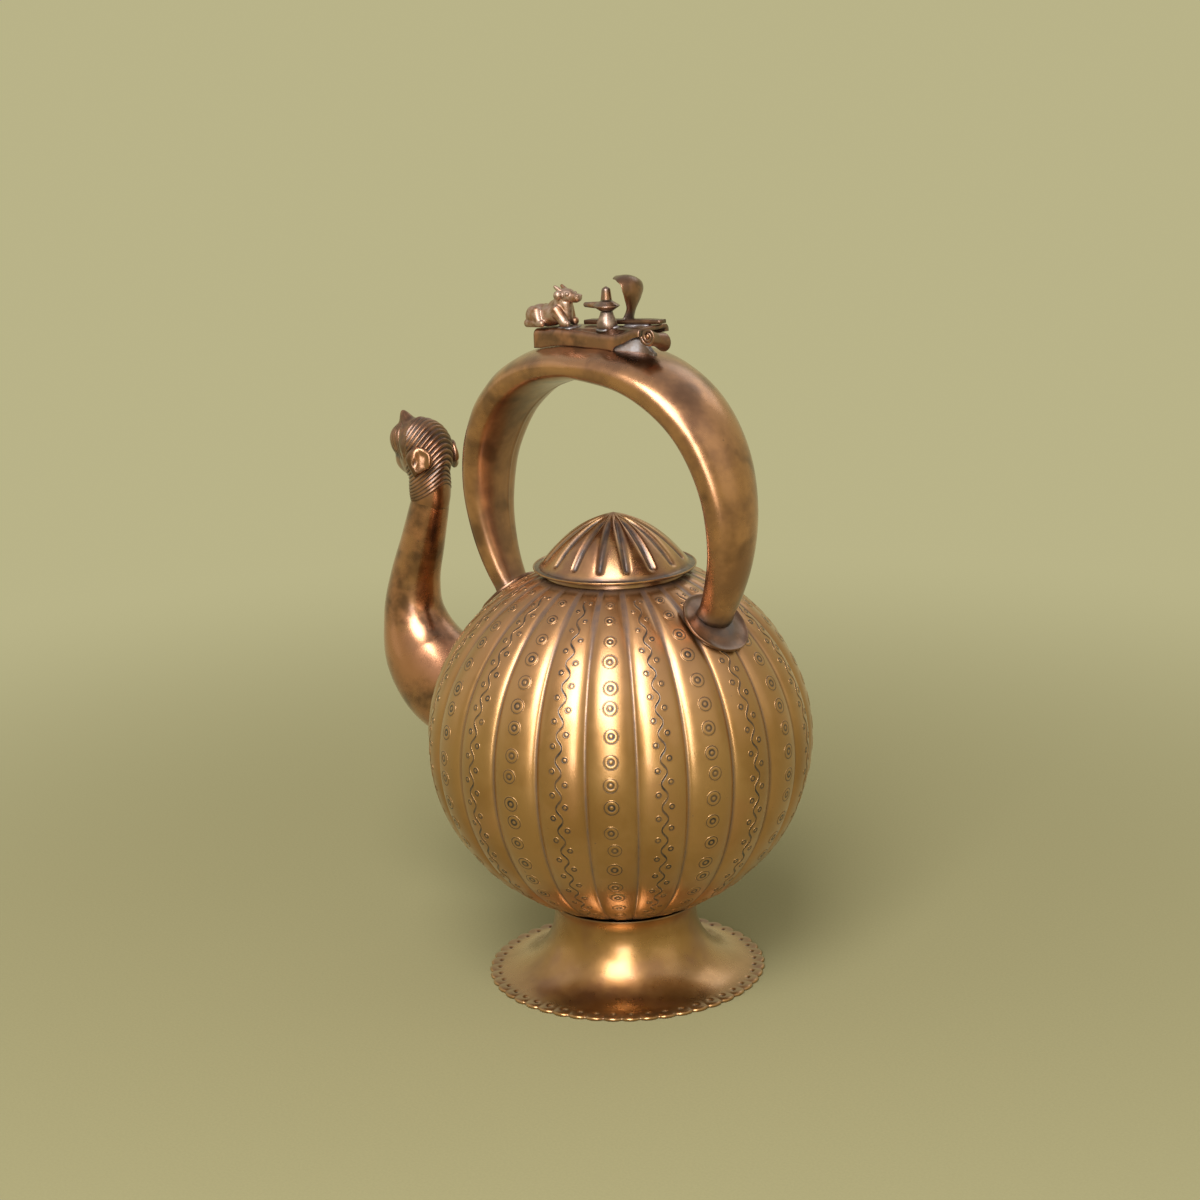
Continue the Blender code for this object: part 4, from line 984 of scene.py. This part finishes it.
def handle_top(handle, x, y):
    """Height of the handle's upper face over points in plan, read off one row of its oval for each y."""
    turn = np.linspace(-1.1, 1.1, 241)
    centre, half_thick, half_width = handle_line(handle, turn)
    outward = handle_outward(handle, turn)
    x, y = np.broadcast_arrays(np.asarray(x, float), np.asarray(y, float))
    found = np.empty(x.shape)
    for value in np.unique(np.round(np.abs(y), 6)):
        reach = half_thick * np.sqrt(np.clip(1 - (value / half_width) ** 2, 0, 1))
        spot = centre + reach[:, None] * outward
        here = np.isclose(np.abs(y), value, atol=1e-6)
        found[here] = np.interp(x[here], spot[:, 0], spot[:, 2])
    return found


def tilted(platform, points):
    """Points over a level platform, turned with it about the crown."""
    c, s = math.cos(platform.tilt), math.sin(platform.tilt)
    x, y, up = points[..., 0], points[..., 1], points[..., 2] - platform.top
    return joined(c * x - s * up, y, platform.top + s * x + c * up)


def banded(outer, inner, dark_out, dark_in):
    """A bent sheet from two matching grids, its outer and inner face, closed along its edges and ends."""
    shades = [np.broadcast_to(dark, outer.shape[:2]) for dark in (dark_out, dark_in)]
    parts = [surface(np.concatenate([outer, inner[:, ::-1]], axis=1), np.concatenate(shades, axis=1))]
    for end in (0, -1):
        parts.append(surface(np.stack([outer[end], inner[end]]), 0.4, wrap_columns=False))
    return parts


def sweep_start(platform):
    """Where the platform's swept end begins."""
    return platform.front - platform.sweep


def platform_height(platform, x):
    """Height of the tilted platform's middle line."""
    return platform.top + math.tan(platform.tilt) * x


def edge_bend(platform, x):
    """How far the long edges hang below the middle: growing to the sweep, and back to nothing at the
    scroll."""
    deepest, level_to, level_gap = 0.0024, -0.022, 0.002
    sweep_x = sweep_start(platform)
    fade = 1 - smooth_step(sweep_x, platform.front - level_gap, x)
    return deepest * smooth_step(level_to, sweep_x, x) * fade


def saddle_shell(platform, handle):
    """Bent sheet carried along X: sloping top, rounded edges, and flanges that sweep up to the scroll."""
    inner_edge, least_flange, gap, uneven_height = 0.0008, 0.0009, 0.0003, 0.00016
    flange_growth, grows_from = 0.0025, -0.010
    sweep_x = sweep_start(platform)
    straight = np.linspace(-platform.back, sweep_x, 60)
    x = np.concatenate([straight, sweep_x + platform.sweep * np.linspace(0, 1, 44)[1:] ** 2])
    top = platform_height(platform, x)
    bend = edge_bend(platform, x)
    under = top - platform.sheet - least_flange - bend
    swept = 0.94 * np.clip((x - sweep_x) / platform.sweep, 0, 1) ** 0.3
    flange = platform.flange + flange_growth * smooth_step(grows_from, sweep_x, x)
    faces = []
    for half, edge, roof in (
        (platform.half_width, platform.edge, top),
        (platform.half_width - platform.sheet, inner_edge, top - platform.sheet),
    ):
        low = np.maximum(handle_top(handle, x, half) + gap, top - flange)
        low = low + swept * (under - low)
        rows = [(half, low + (roof - bend - edge - low) * t) for t in (0.0, 0.12, 0.5, 1.0)]
        for t in np.linspace(0, math.pi / 2, 7)[1:]:
            rows.append((half - edge * (1 - math.cos(t)), roof - bend - edge * (1 - math.sin(t))))
        rows += [(half * s, roof - s**2.2 * bend) for s in (0.66, 0.5, 0.3, 0.0)]
        whole = rows + [(-y, z) for y, z in rows[-2::-1]]
        faces.append(np.stack([joined(x, y, z) for y, z in whole], axis=1))
    outer, inner = faces
    outer[..., 2] += np.minimum(uneven_height * wobble(outer, 260.0, 1.1) - uneven_height, 0)
    dark = np.full(outer.shape[1], 0.12)
    dark[[0, -1]] = 0.7
    dark[len(dark) // 2 - 1 : len(dark) // 2 + 2] = 0.35
    return banded(outer, inner, dark, 0.9)


def scroll_roll(platform):
    """Volute carried along Y: a sheet that winds inwards, waisted between its ends, with a round knob at
    its middle on a thin stem."""
    gap, eye, sheet, winds = 0.0003, 0.0017, 0.0013, 1.75
    knob_radius, knob_half, knob_in, knob_back, stem_radius = 0.0011, 0.0010, 0.0006, 0.0002, 0.0008
    centre_x = platform.front + gap + platform.scroll
    centre_z = platform.top - platform.scroll_drop
    near = -platform.half_width
    t = np.linspace(0, winds * TURN, 70)
    radius = platform.scroll - (platform.scroll - eye) * t / t[-1]
    run = np.linspace(0, 1, 24)[:, None]
    flare = 0.76 + 0.24 * np.abs(2 * run - 1) ** 1.2 + 0.10 * run
    faces = []
    for shrink in (0.0, sheet):
        x = centre_x + flare * (radius - shrink) * np.cos(t + math.pi)
        z = centre_z + flare * (radius - shrink) * np.sin(t + math.pi) - platform.scroll_skew * run
        faces.append(tilted(platform, joined(x, near + platform.scroll_length * run, z)))
    parts = banded(*faces, 0.4, 0.85)
    around = turns(20)
    fall = np.linspace(0, math.pi, 14)[:, None]
    end = platform.scroll_length
    for out, along, skew, dark in (
        (knob_radius * np.sin(fall), knob_in - knob_half * np.cos(fall), 0.0, 0.0),
        (stem_radius * np.array([[0, 1, 1, 0]]).T, np.array([[knob_in, knob_in, end, end]]).T, 1.0, 0.5),
    ):
        sunk = skew * platform.scroll_skew * (along >= end)
        x = centre_x - knob_back + out * np.cos(around)
        z = centre_z - sunk + out * np.sin(around)
        parts.append(surface(tilted(platform, joined(x, near + along, z)), dark))
    return parts


def solder_run(platform, handle):
    """Lumpy block of solder between the handle's crown and the swept end of the platform. It narrows and
    falls towards the scroll, and ends in a low skirt."""
    side_gap, back_reach, longer, roof_gap, sunk = 0.0004, 0.002, 0.0026, 0.0010, 0.0008
    skirt_share, skirt_height, lump, least, least_roof = 1.14, 0.06, 0.0002, 0.00006, 0.0001
    half = platform.half_width - platform.sheet - side_gap
    run = np.linspace(0, 1, 50)[:, None]
    x = sweep_start(platform) - back_reach + (platform.sweep + longer) * run
    share = np.concatenate([[-skirt_share], np.linspace(-1, 1, 44), [skirt_share]])
    x, y = np.broadcast_arrays(x, half * share * (1 - 0.85 * smooth_step(0.05, 0.85, run)))
    floor = handle_top(handle, x, np.round(y, 4))
    roof = platform_height(platform, x) - platform.sheet - roof_gap - edge_bend(platform, x)
    fall = 1 - 0.85 * smooth_step(0.45, 1.0, run)
    section = np.where(np.abs(share) > 1, skirt_height, 1 - 0.2 * np.abs(share) ** 10)
    height = floor + (roof - floor) * fall * section + lump * wobble(joined(x, y, 0.0), 900.0, 0.7) - lump
    height = np.clip(height, floor + least, np.maximum(roof, floor + least_roof))
    low = joined(x, y, floor - sunk)
    return capped(np.concatenate([joined(x, y, height), low[:, ::-1]], axis=1), 0.35)


def solder_pool(platform, x, y, size, seed):
    """Flat puddle of solder round the foot of a figure, with a ragged edge, that hangs with the platform."""
    angles = turns(36)
    ragged = 1 + 0.14 * np.sin(3 * angles + seed) + 0.09 * np.sin(5 * angles + 2.3 * seed)
    share = np.array((0.0, 0.6, 0.86, 1.0, 0.0))[:, None] * ragged
    height = np.array((0.0004, 0.0004, 0.0002, -0.0004, -0.0004))[:, None]
    along = x + size[0] * share * np.cos(angles)
    across = y + size[1] * share * np.sin(angles)
    hang = edge_bend(platform, along) * np.clip(np.abs(across) / platform.half_width, 0, 1) ** 2.2
    return surface(tilted(platform, joined(along, across, platform.top + height - hang)), 0.3)


def strip_bar(platform):
    """Thin bar with eased edges on the platform, its far end narrowed and turned down a little."""
    back, front, half_width, narrowing, droop, gap = -0.0138, 0.0272, 0.0030, 0.0008, 0.0003, 0.0003
    x = np.linspace(back, front, 44)[:, None]
    section = [(-1, 0.0), (-1, 0.0014), (-0.9, 0.0019), (0.9, 0.0019), (1, 0.0014), (1, 0.0)]
    side, up = np.array(section).T
    half = half_width - narrowing * smooth_step(0.020, front, x)
    bow = -droop * smooth_step(0.016, front, x) * (up > 0)
    points = joined(x, platform.strip_side + half * side, platform.top + gap + up + bow)
    return capped(tilted(platform, points), 0.35)


def pedestal_turn(low, tall):
    """Hammered bell turned from rows of (radius, height, tarnish), as a list of one surface."""
    drawn_tall, hammering = 0.0056, 0.03
    profile = [
        (0.0, -0.0012, 0.6),
        (0.0043, -0.0012, 0.6),
        (0.00445, 0.0001, 0.25),
        (0.0043, 0.0010, 0.05),
        (0.0039, 0.0021, 0.05),
        (0.0034, 0.0033, 0.1),
        (0.0029, 0.0044, 0.25),
        (0.0027, 0.0052, 0.5),
        (0.0026, 0.0056, 0.8),
        (0.0, 0.0056, 0.8),
    ]
    points = lathe([(r, low + z * tall / drawn_tall) for r, z, _ in profile], turns(60))
    points[..., :2] *= 1 + hammering * wobble(points, 1500.0, 0.3)[..., None]
    return [surface(points, np.array(profile)[:, 2:])]


def dish_turn(low, tall):
    """Double cone turned from rows of (radius, height, tarnish), with a long round pouring lip towards
    the bull."""
    drawn_tall = 0.0042
    profile = [
        (0.0, 0.0, 0.6),
        (0.0027, 0.0, 0.6),
        (0.0042, 0.0010, 0.3),
        (0.0054, 0.0018, 0.1),
        (0.0057, 0.00215, 0.0),
        (0.0054, 0.0025, 0.0),
        (0.0042, 0.0032, 0.2),
        (0.0030, 0.0039, 0.45),
        (0.0026, 0.0042, 0.9),
        (0.0, 0.0042, 0.9),
    ]
    points = lathe([(r, low + z * tall / drawn_tall) for r, z, _ in profile], turns(96))
    lip = limb((-0.0030, 0, low + 0.0022), (-0.0114, 0, low + 0.0019), 0.0017, 0.0011)
    return [surface(points, np.array(profile)[:, 2:]), lip]


def lingam_turn(low, tall):
    """Tapered rod with a rounded top, as a list of one surface."""
    foot_radius, taper = 0.0024, 0.0007
    share = np.linspace(0, 1, 26)
    rounding = np.sqrt(np.clip(1 - smooth_step(0.66, 1.0, share) ** 2.2, 0, 1))
    radius = (foot_radius - taper * share) * rounding
    points = lathe(np.stack([radius, low + tall * share], axis=-1), turns(40))
    return [capped(points, (0.8 * (1 - smooth_step(0.0, 0.12, share)))[:, None])]


def cobra_blade(platform, low, height):
    """Oval carried up a curling line of (x, share of the height, share of the width, share of the
    thickness); it widens into a cupped hood, with a foot that spreads on the strip."""
    hood, thickness, cupping, foot_sink = 0.0069, 0.0009, 0.22, 0.0002
    curl = [
        (-0.0004, -foot_sink / height, 0.52, 1.5),
        (0.0, 0.05, 0.46, 1.3),
        (0.0012, 0.22, 0.44, 1.2),
        (0.0028, 0.45, 0.78, 0.9),
        (0.0036, 0.66, 1.0, 0.75),
        (0.0024, 0.86, 1.0, 0.75),
        (-0.0014, 0.955, 0.90, 0.8),
        (-0.0062, 0.925, 0.45, 0.9),
    ]
    line = smooth_curve([(x, up * height, wide, thick) for x, up, wide, thick in curl], 84)
    heading = unit(np.gradient(line[:, :2], axis=0))
    angles = turns(44)
    share = line[:, 2, None]
    wide = hood * share
    side = thickness * line[:, 3, None] * np.sin(angles) - cupping * wide * share * np.cos(angles) ** 2
    x = platform.cobra + line[:, 0, None] + heading[:, 1, None] * side
    y = platform.strip_side + wide * np.cos(angles)
    z = low + line[:, 1, None] - heading[:, 0, None] * side
    return capped(joined(x, y, z), 0.9 * (1 - smooth_step(0.05, 0.28, (z - low) / height)))


def blob(centre, half_axes, pitch=0.0, roll=0.0):
    """Ellipsoid tipped about Y and then about X."""
    turn = np.array(Matrix.Rotation(roll, 3, "X") @ Matrix.Rotation(pitch, 3, "Y"))
    return surface((sphere(18, 24) * half_axes) @ turn.T + np.array(centre))


def limb(start, end, first, last):
    """Rounded rod between two points, with a radius at each end: a half ball, a cone and a half ball."""
    start, end = np.array(start, float), np.array(end, float)
    way = unit(end - start)
    side = unit(np.cross(way, (0.3, 0.9, 0.2)))
    other = np.cross(way, side)
    t = np.linspace(-math.pi / 2, math.pi / 2, 15)
    share = np.where(t < 0, 0.0, 1.0)
    radius = first + (last - first) * share
    place = start + (end - start) * share[:, None] + (radius * np.sin(t))[:, None] * way
    angles = turns(16)
    ring = np.cos(angles)[:, None] * side + np.sin(angles)[:, None] * other
    return surface(place[:, None] + (radius * np.cos(t))[:, None, None] * ring)


def bull_forms(platform):
    """Reclining bull, facing +X, as overlapping rounded forms that are fused afterwards. Its far foreleg
    is tucked in."""
    gap = 0.0003
    forms = [
        blob((-0.0048, 0, 0.0048), (0.0055, 0.0056, 0.0048)),
        blob((0.0030, 0, 0.0052), (0.0082, 0.0053, 0.0048)),
        blob((-0.0010, 0, 0.0034), (0.0086, 0.0052, 0.0038)),
        blob((0.0046, 0, 0.0080), (0.0042, 0.0036, 0.0034)),
        limb((0.0064, 0, 0.0074), (0.0094, 0, 0.0122), 0.0048, 0.0035),
        blob((0.0108, 0, 0.0130), (0.0045, 0.0035, 0.0030), 0.2),
        limb((0.0122, 0, 0.0125), (0.0160, 0, 0.0118), 0.0028, 0.0021),
        blob((0.0170, 0, 0.0119), (0.0016, 0.0022, 0.0018)),
        limb((0.0098, 0, 0.0090), (0.0100, 0, 0.0036), 0.0034, 0.0026),
        limb((-0.0098, 0.0006, 0.0060), (-0.0092, 0.0026, 0.0014), 0.0009, 0.0009),
    ]
    for side in (-1, 1):
        knee, hoof = (0.0112, 0.0134) if side < 0 else (0.0090, 0.0094)
        forms += [
            limb((0.0088, side * 0.0018, 0.0150), (0.0066, side * 0.0022, 0.0168), 0.0013, 0.0008),
            blob((0.0092, side * 0.0040, 0.0134), (0.0020, 0.0018, 0.0020), 0.2, side * 0.3),
            blob((0.0134, side * 0.0027, 0.0137), (0.0009, 0.0008, 0.0008)),
            blob((0.0178, side * 0.0012, 0.0127), (0.0006, 0.0007, 0.0006)),
            limb((0.0076, side * 0.0034, 0.0064), (knee, side * 0.0039, 0.0022), 0.0032, 0.0021),
            limb((0.0108, side * 0.0039, 0.0016), (hoof, side * 0.0039, 0.0012), 0.0018, 0.0013),
            blob((-0.0052, side * 0.0042, 0.0046), (0.0044, 0.0025, 0.0046)),
            limb((-0.0080, side * 0.0050, 0.0018), (0.0002, side * 0.0058, 0.0016), 0.0020, 0.0016),
            limb((-0.0034, side * 0.0042, 0.0064), (-0.0020, side * 0.0052, 0.0030), 0.0024, 0.0020),
        ]
    moved = []
    for points, faces, tarnish in forms:
        place = points + (platform.bull, platform.figure_side, 0)
        place[:, 2] = platform.top + gap + np.maximum(place[:, 2], 0)
        moved.append((tilted(platform, place), faces, tarnish))
    return moved


# A lamp is its name, place, width and height, power and tint.
LAMPS = (
    ("key", (0.525, -1.02, 1.39), (0.8, 1.2), 29.0, (1.0, 0.98, 0.96)),
    ("front", (0.82, -1.12, 0.52), (0.4, 0.8), 6.5, (1.0, 0.97, 0.94)),
    ("left", (-1.25, -0.70, 0.85), (1.2, 1.4), 1.2, (1.0, 0.98, 0.95)),
    ("right", (1.25, 0.15, 0.8), (1.0, 1.2), 1.0, (1.0, 0.96, 0.9)),
    ("back", (0.0, 1.3, 1.2), (0.9, 0.5), 1.2, (1.0, 0.98, 0.95)),
)


def add_lamp(name, where, size, power, tint):
    """A soft rectangular lamp that faces the pot."""
    target = Vector((AXIS_X, 0, 0.13))
    light = bpy.data.lights.new(name, "AREA")
    light.shape = "RECTANGLE"
    light.size, light.size_y = size
    light.energy = power
    light.color = tint
    lamp = bpy.data.objects.new(name, light)
    lamp.location = where
    lamp.rotation_euler = (target - Vector(where)).to_track_quat("-Z", "Y").to_euler()
    bpy.context.scene.collection.objects.link(lamp)


def floor_paper(pale):
    """Matt paper that takes shadows near the vessel, and fades into an even glow of its tone far away."""
    near_shares, fade_from, fade_to = (0.635, 0.60), 0.17, 0.8
    ground = bpy.data.materials.new("floor_paper")
    ground.use_nodes = True
    tree = ground.node_tree
    shader = tree.nodes["Principled BSDF"]
    place = add_node(tree, "ShaderNodeTexCoord").outputs["Object"]
    weave = ranged(tree, noise(tree, place, 900.0, 3.0), 0.3, 0.7)
    near, darker = (tuple(share * value for value in pale) for share in near_shares)
    tree.links.new(mixed(tree, weave, near, darker), shader.inputs["Base Color"])
    shader.inputs["Roughness"].default_value = 1.0
    shader.inputs["Specular IOR Level"].default_value = 0.0
    away = add_node(tree, "ShaderNodeVectorMath", {0: place}, operation="LENGTH").outputs["Value"]
    glow = add_node(tree, "ShaderNodeEmission", {"Color": (*pale, 1), "Strength": 1.0}).outputs[0]
    far = ranged(tree, away, fade_from, fade_to)
    spread = add_node(tree, "ShaderNodeMixShader", {0: far, 1: shader.outputs[0], 2: glow}).outputs[0]
    tree.links.new(spread, tree.nodes["Material Output"].inputs["Surface"])
    return ground


def add_floor(scene, pale):
    """A wide disc of paper."""
    floor_mesh = bpy.data.meshes.new("floor")
    disc = lathe([(30.0, 0.0)], turns(96))[0]
    floor_mesh.from_pydata(disc.tolist(), [], [list(range(len(disc)))])
    floor_mesh.materials.append(floor_paper(pale))
    floor = bpy.data.objects.new("floor", floor_mesh)
    scene.collection.objects.link(floor)


def add_sky(scene, pale):
    """A world of the floor's tone that turns to grey overhead."""
    overhead = (0.50, 0.48, 0.44)
    world = bpy.data.worlds.new("studio")
    scene.world = world
    world.use_nodes = True
    sky = world.node_tree
    direction = add_node(sky, "ShaderNodeTexCoord").outputs["Generated"]
    height = add_node(sky, "ShaderNodeSeparateXYZ", {0: direction}).outputs["Z"]
    tone = mixed(sky, ranged(sky, height, 0.15, 0.9), pale, overhead)
    sky.links.new(tone, sky.nodes["Background"].inputs["Color"])


def add_camera(scene):
    """The photograph's view: a long lens at a place, with its right, up and back directions."""
    lens = bpy.data.cameras.new("camera")
    lens.lens = 75
    lens.sensor_width = 36
    camera = bpy.data.objects.new("camera", lens)
    right = Vector((0.7612, 0.6477, -0.0323))
    up = Vector((-0.139, 0.2116, 0.9674))
    back = Vector((0.6334, -0.7319, 0.2511))
    rotation = Matrix((right, up, back)).transposed()
    camera.matrix_world = Matrix.Translation((0.7100, -0.7996, 0.4435)) @ rotation.to_4x4()
    scene.collection.objects.link(camera)
    scene.camera = camera


class VESSEL_OT_stage(bpy.types.Operator):
    """Pale floor, soft studio light and the camera at the photograph's view"""

    bl_idname = "vessel.stage"
    bl_label = "Stage"

    def execute(self, context):
        scene = context.scene
        scene.view_settings.view_transform = "Standard"
        pale = tuple(scene.vessel_colours.floor)
        add_floor(scene, pale)
        add_sky(scene, pale)
        for lamp in LAMPS:
            add_lamp(*lamp)
        add_camera(scene)
        return {"FINISHED"}


class VESSEL_OT_pot(bpy.types.Operator):
    """Lobed pot with punched circles and chased waves on its lobes"""

    bl_idname = "vessel.pot"
    bl_label = "Pot"

    def execute(self, context):
        pot = context.scene.vessel_pot
        add_piece("pot", [pot_shell(pot)], "pot_metal", "body")
        add_piece("pot_circles", pot_circles(pot), "chased_metal")
        add_piece("pot_waves", pot_waves(pot) + pot_small_circles(pot), "chased_metal")
        collar = sleeve_shell(outer=0.0307, low=0.1775, high=0.18545)
        add_piece("neck_collar", [collar], "lid_metal", "mouth_collar")
        return {"FINISHED"}


class VESSEL_OT_foot(bpy.types.Operator):
    """Trumpet foot with a scalloped and punched rim"""

    bl_idname = "vessel.foot"
    bl_label = "Foot"

    def execute(self, context):
        shell = foot_shell(context.scene.vessel_foot)
        add_piece("scalloped_foot", [shell], "foot_metal", "foot")
        return {"FINISHED"}


class VESSEL_OT_lid(bpy.types.Operator):
    """Fluted lid with its sleeve"""

    bl_idname = "vessel.lid"
    bl_label = "Lid"

    def execute(self, context):
        shell = lid_shell(context.scene.vessel_lid)
        add_piece("fluted_lid", [shell], "lid_metal", "lid", body="lid")
        sleeve = sleeve_shell(outer=0.0285, low=0.1785, high=0.18577)
        add_piece("lid_tube", [sleeve], "lid_metal", "lid_sleeve", body="lid")
        return {"FINISHED"}


class VESSEL_OT_spout(bpy.types.Operator):
    """Swan-necked spout with a beast's head"""

    bl_idname = "vessel.spout"
    bl_label = "Spout"

    def execute(self, context):
        pot, spout = context.scene.vessel_pot, context.scene.vessel_spout
        add_piece("spout_neck", [spout_tube(pot, spout)], "spout_metal", "spout")
        line, _ = spout_line(pot, spout)
        end = np.array((line[-1, 0], 0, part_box("spout")[1].z))
        forms = [head_shell(spout), head_ear(-1), head_ear(1)]
        parts = [(points + end, faces, dark) for points, faces, dark in forms]
        add_piece("beast", parts, "head_metal", "beast_head")
        return {"FINISHED"}


class VESSEL_OT_handle(bpy.types.Operator):
    """Arched handle on two dished plates"""

    bl_idname = "vessel.handle"
    bl_label = "Handle"

    def execute(self, context):
        pot, handle = context.scene.vessel_pot, context.scene.vessel_handle
        add_piece("arch", [handle_strap(pot, handle)], "handle_metal", "handle")
        for node in ("handle_plate_front", "handle_plate_rear"):
            shell = plate_shell(pot, handle, node)
            add_piece(node + "_dished", [shell], "plate_metal", node)
        return {"FINISHED"}


class VESSEL_OT_platform(bpy.types.Operator):
    """Bent platform on the handle with its scroll, solder and strip"""

    bl_idname = "vessel.platform"
    bl_label = "Platform"

    def execute(self, context):
        platform, handle = context.scene.vessel_platform, context.scene.vessel_handle
        saddle = saddle_shell(platform, handle)
        add_piece("bent_saddle", saddle, "platform_metal", "saddle")
        add_piece("rolled_scroll", scroll_roll(platform), "platform_metal", "scroll")
        solder = solder_run(platform, handle)
        add_piece("solder_run", [solder], "solder_metal", "saddle_solder")
        aside, strip_y = platform.figure_side, platform.strip_side - 0.0012
        pools = [
            solder_pool(platform, platform.stack, aside, (0.0052, 0.0044), 0.4),
            solder_pool(platform, platform.cobra + 0.0050, strip_y, (0.0075, 0.0042), 1.9),
            solder_pool(platform, platform.bull + 0.0115, aside, (0.0050, 0.0055), 3.1),
        ]
        add_piece("solder_pools", pools, "solder_metal")
        add_piece("strip_bar", [strip_bar(platform)], "cobra_metal", "cobra_strip")
        return {"FINISHED"}


class VESSEL_OT_figures(bpy.types.Operator):
    """Bull, lingam on its dish and pedestal, and cobra"""

    bl_idname = "vessel.figures"
    bl_label = "Figures"

    def execute(self, context):
        platform = context.scene.vessel_platform
        bull = add_piece("reclining_bull", bull_forms(platform), "bull_metal", "bull")
        fuse = bull.modifiers.new("Fuse", "REMESH")
        fuse.mode = "VOXEL"
        fuse.voxel_size = 0.00024
        fuse.use_smooth_shade = True
        ease = bull.modifiers.new("Ease", "SMOOTH")
        ease.factor = 0.5
        ease.iterations = 4
        aside = np.array((platform.stack, platform.figure_side, 0))
        turned = (
            ("hammered_pedestal", "pedestal", "pedestal_metal", "brown_brass", pedestal_turn),
            ("lens_dish", "yoni_dish", "figure_metal", "golden_brass", dish_turn),
            ("lingam_rod", "lingam", "figure_metal", "golden_brass", lingam_turn),
        )
        for name, node, finish, slot, shape in turned:
            low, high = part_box(node)
            parts = [(points + aside, faces, dark) for points, faces, dark in shape(low.z, high.z - low.z)]
            add_piece(name, parts, finish, node)
        low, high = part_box("cobra")
        blade = cobra_blade(platform, low.z, high.z - low.z)
        add_piece("hooded_cobra", [blade], "cobra_metal", "cobra")
        return {"FINISHED"}


class VESSEL_PT_panel(bpy.types.Panel):
    """Steps of the vessel, in order"""

    bl_idname = "VESSEL_PT_panel"
    bl_label = "Ritual Water Vessel"
    bl_space_type = "VIEW_3D"
    bl_region_type = "UI"
    bl_category = "Vessel"

    def draw(self, context):
        for step in STEPS:
            self.layout.operator(step.bl_idname)


GROUPS = {
    "vessel_pot": PotSizes,
    "vessel_foot": FootSizes,
    "vessel_lid": LidSizes,
    "vessel_spout": SpoutSizes,
    "vessel_handle": HandleSizes,
    "vessel_platform": PlatformSizes,
    "vessel_colours": FinishColours,
}
STEPS = (
    VESSEL_OT_stage,
    VESSEL_OT_pot,
    VESSEL_OT_foot,
    VESSEL_OT_lid,
    VESSEL_OT_spout,
    VESSEL_OT_handle,
    VESSEL_OT_platform,
    VESSEL_OT_figures,
)


def register():
    """Adds the size groups to the scene, then the steps and their panel."""
    for name, group in GROUPS.items():
        bpy.utils.register_class(group)
        setattr(bpy.types.Scene, name, bpy.props.PointerProperty(type=group))
    for step in (*STEPS, VESSEL_PT_panel):
        bpy.utils.register_class(step)


def unregister():
    """Takes away what register adds, in the opposite order."""
    for step in reversed((*STEPS, VESSEL_PT_panel)):
        bpy.utils.unregister_class(step)
    for name, group in reversed(GROUPS.items()):
        delattr(bpy.types.Scene, name)
        bpy.utils.unregister_class(group)


def main():
    """Runs every step in order."""
    register()
    for name in ("stage", "pot", "foot", "lid", "spout", "handle", "platform", "figures"):
        getattr(bpy.ops.vessel, name)()


if __name__ == "__main__":
    main()
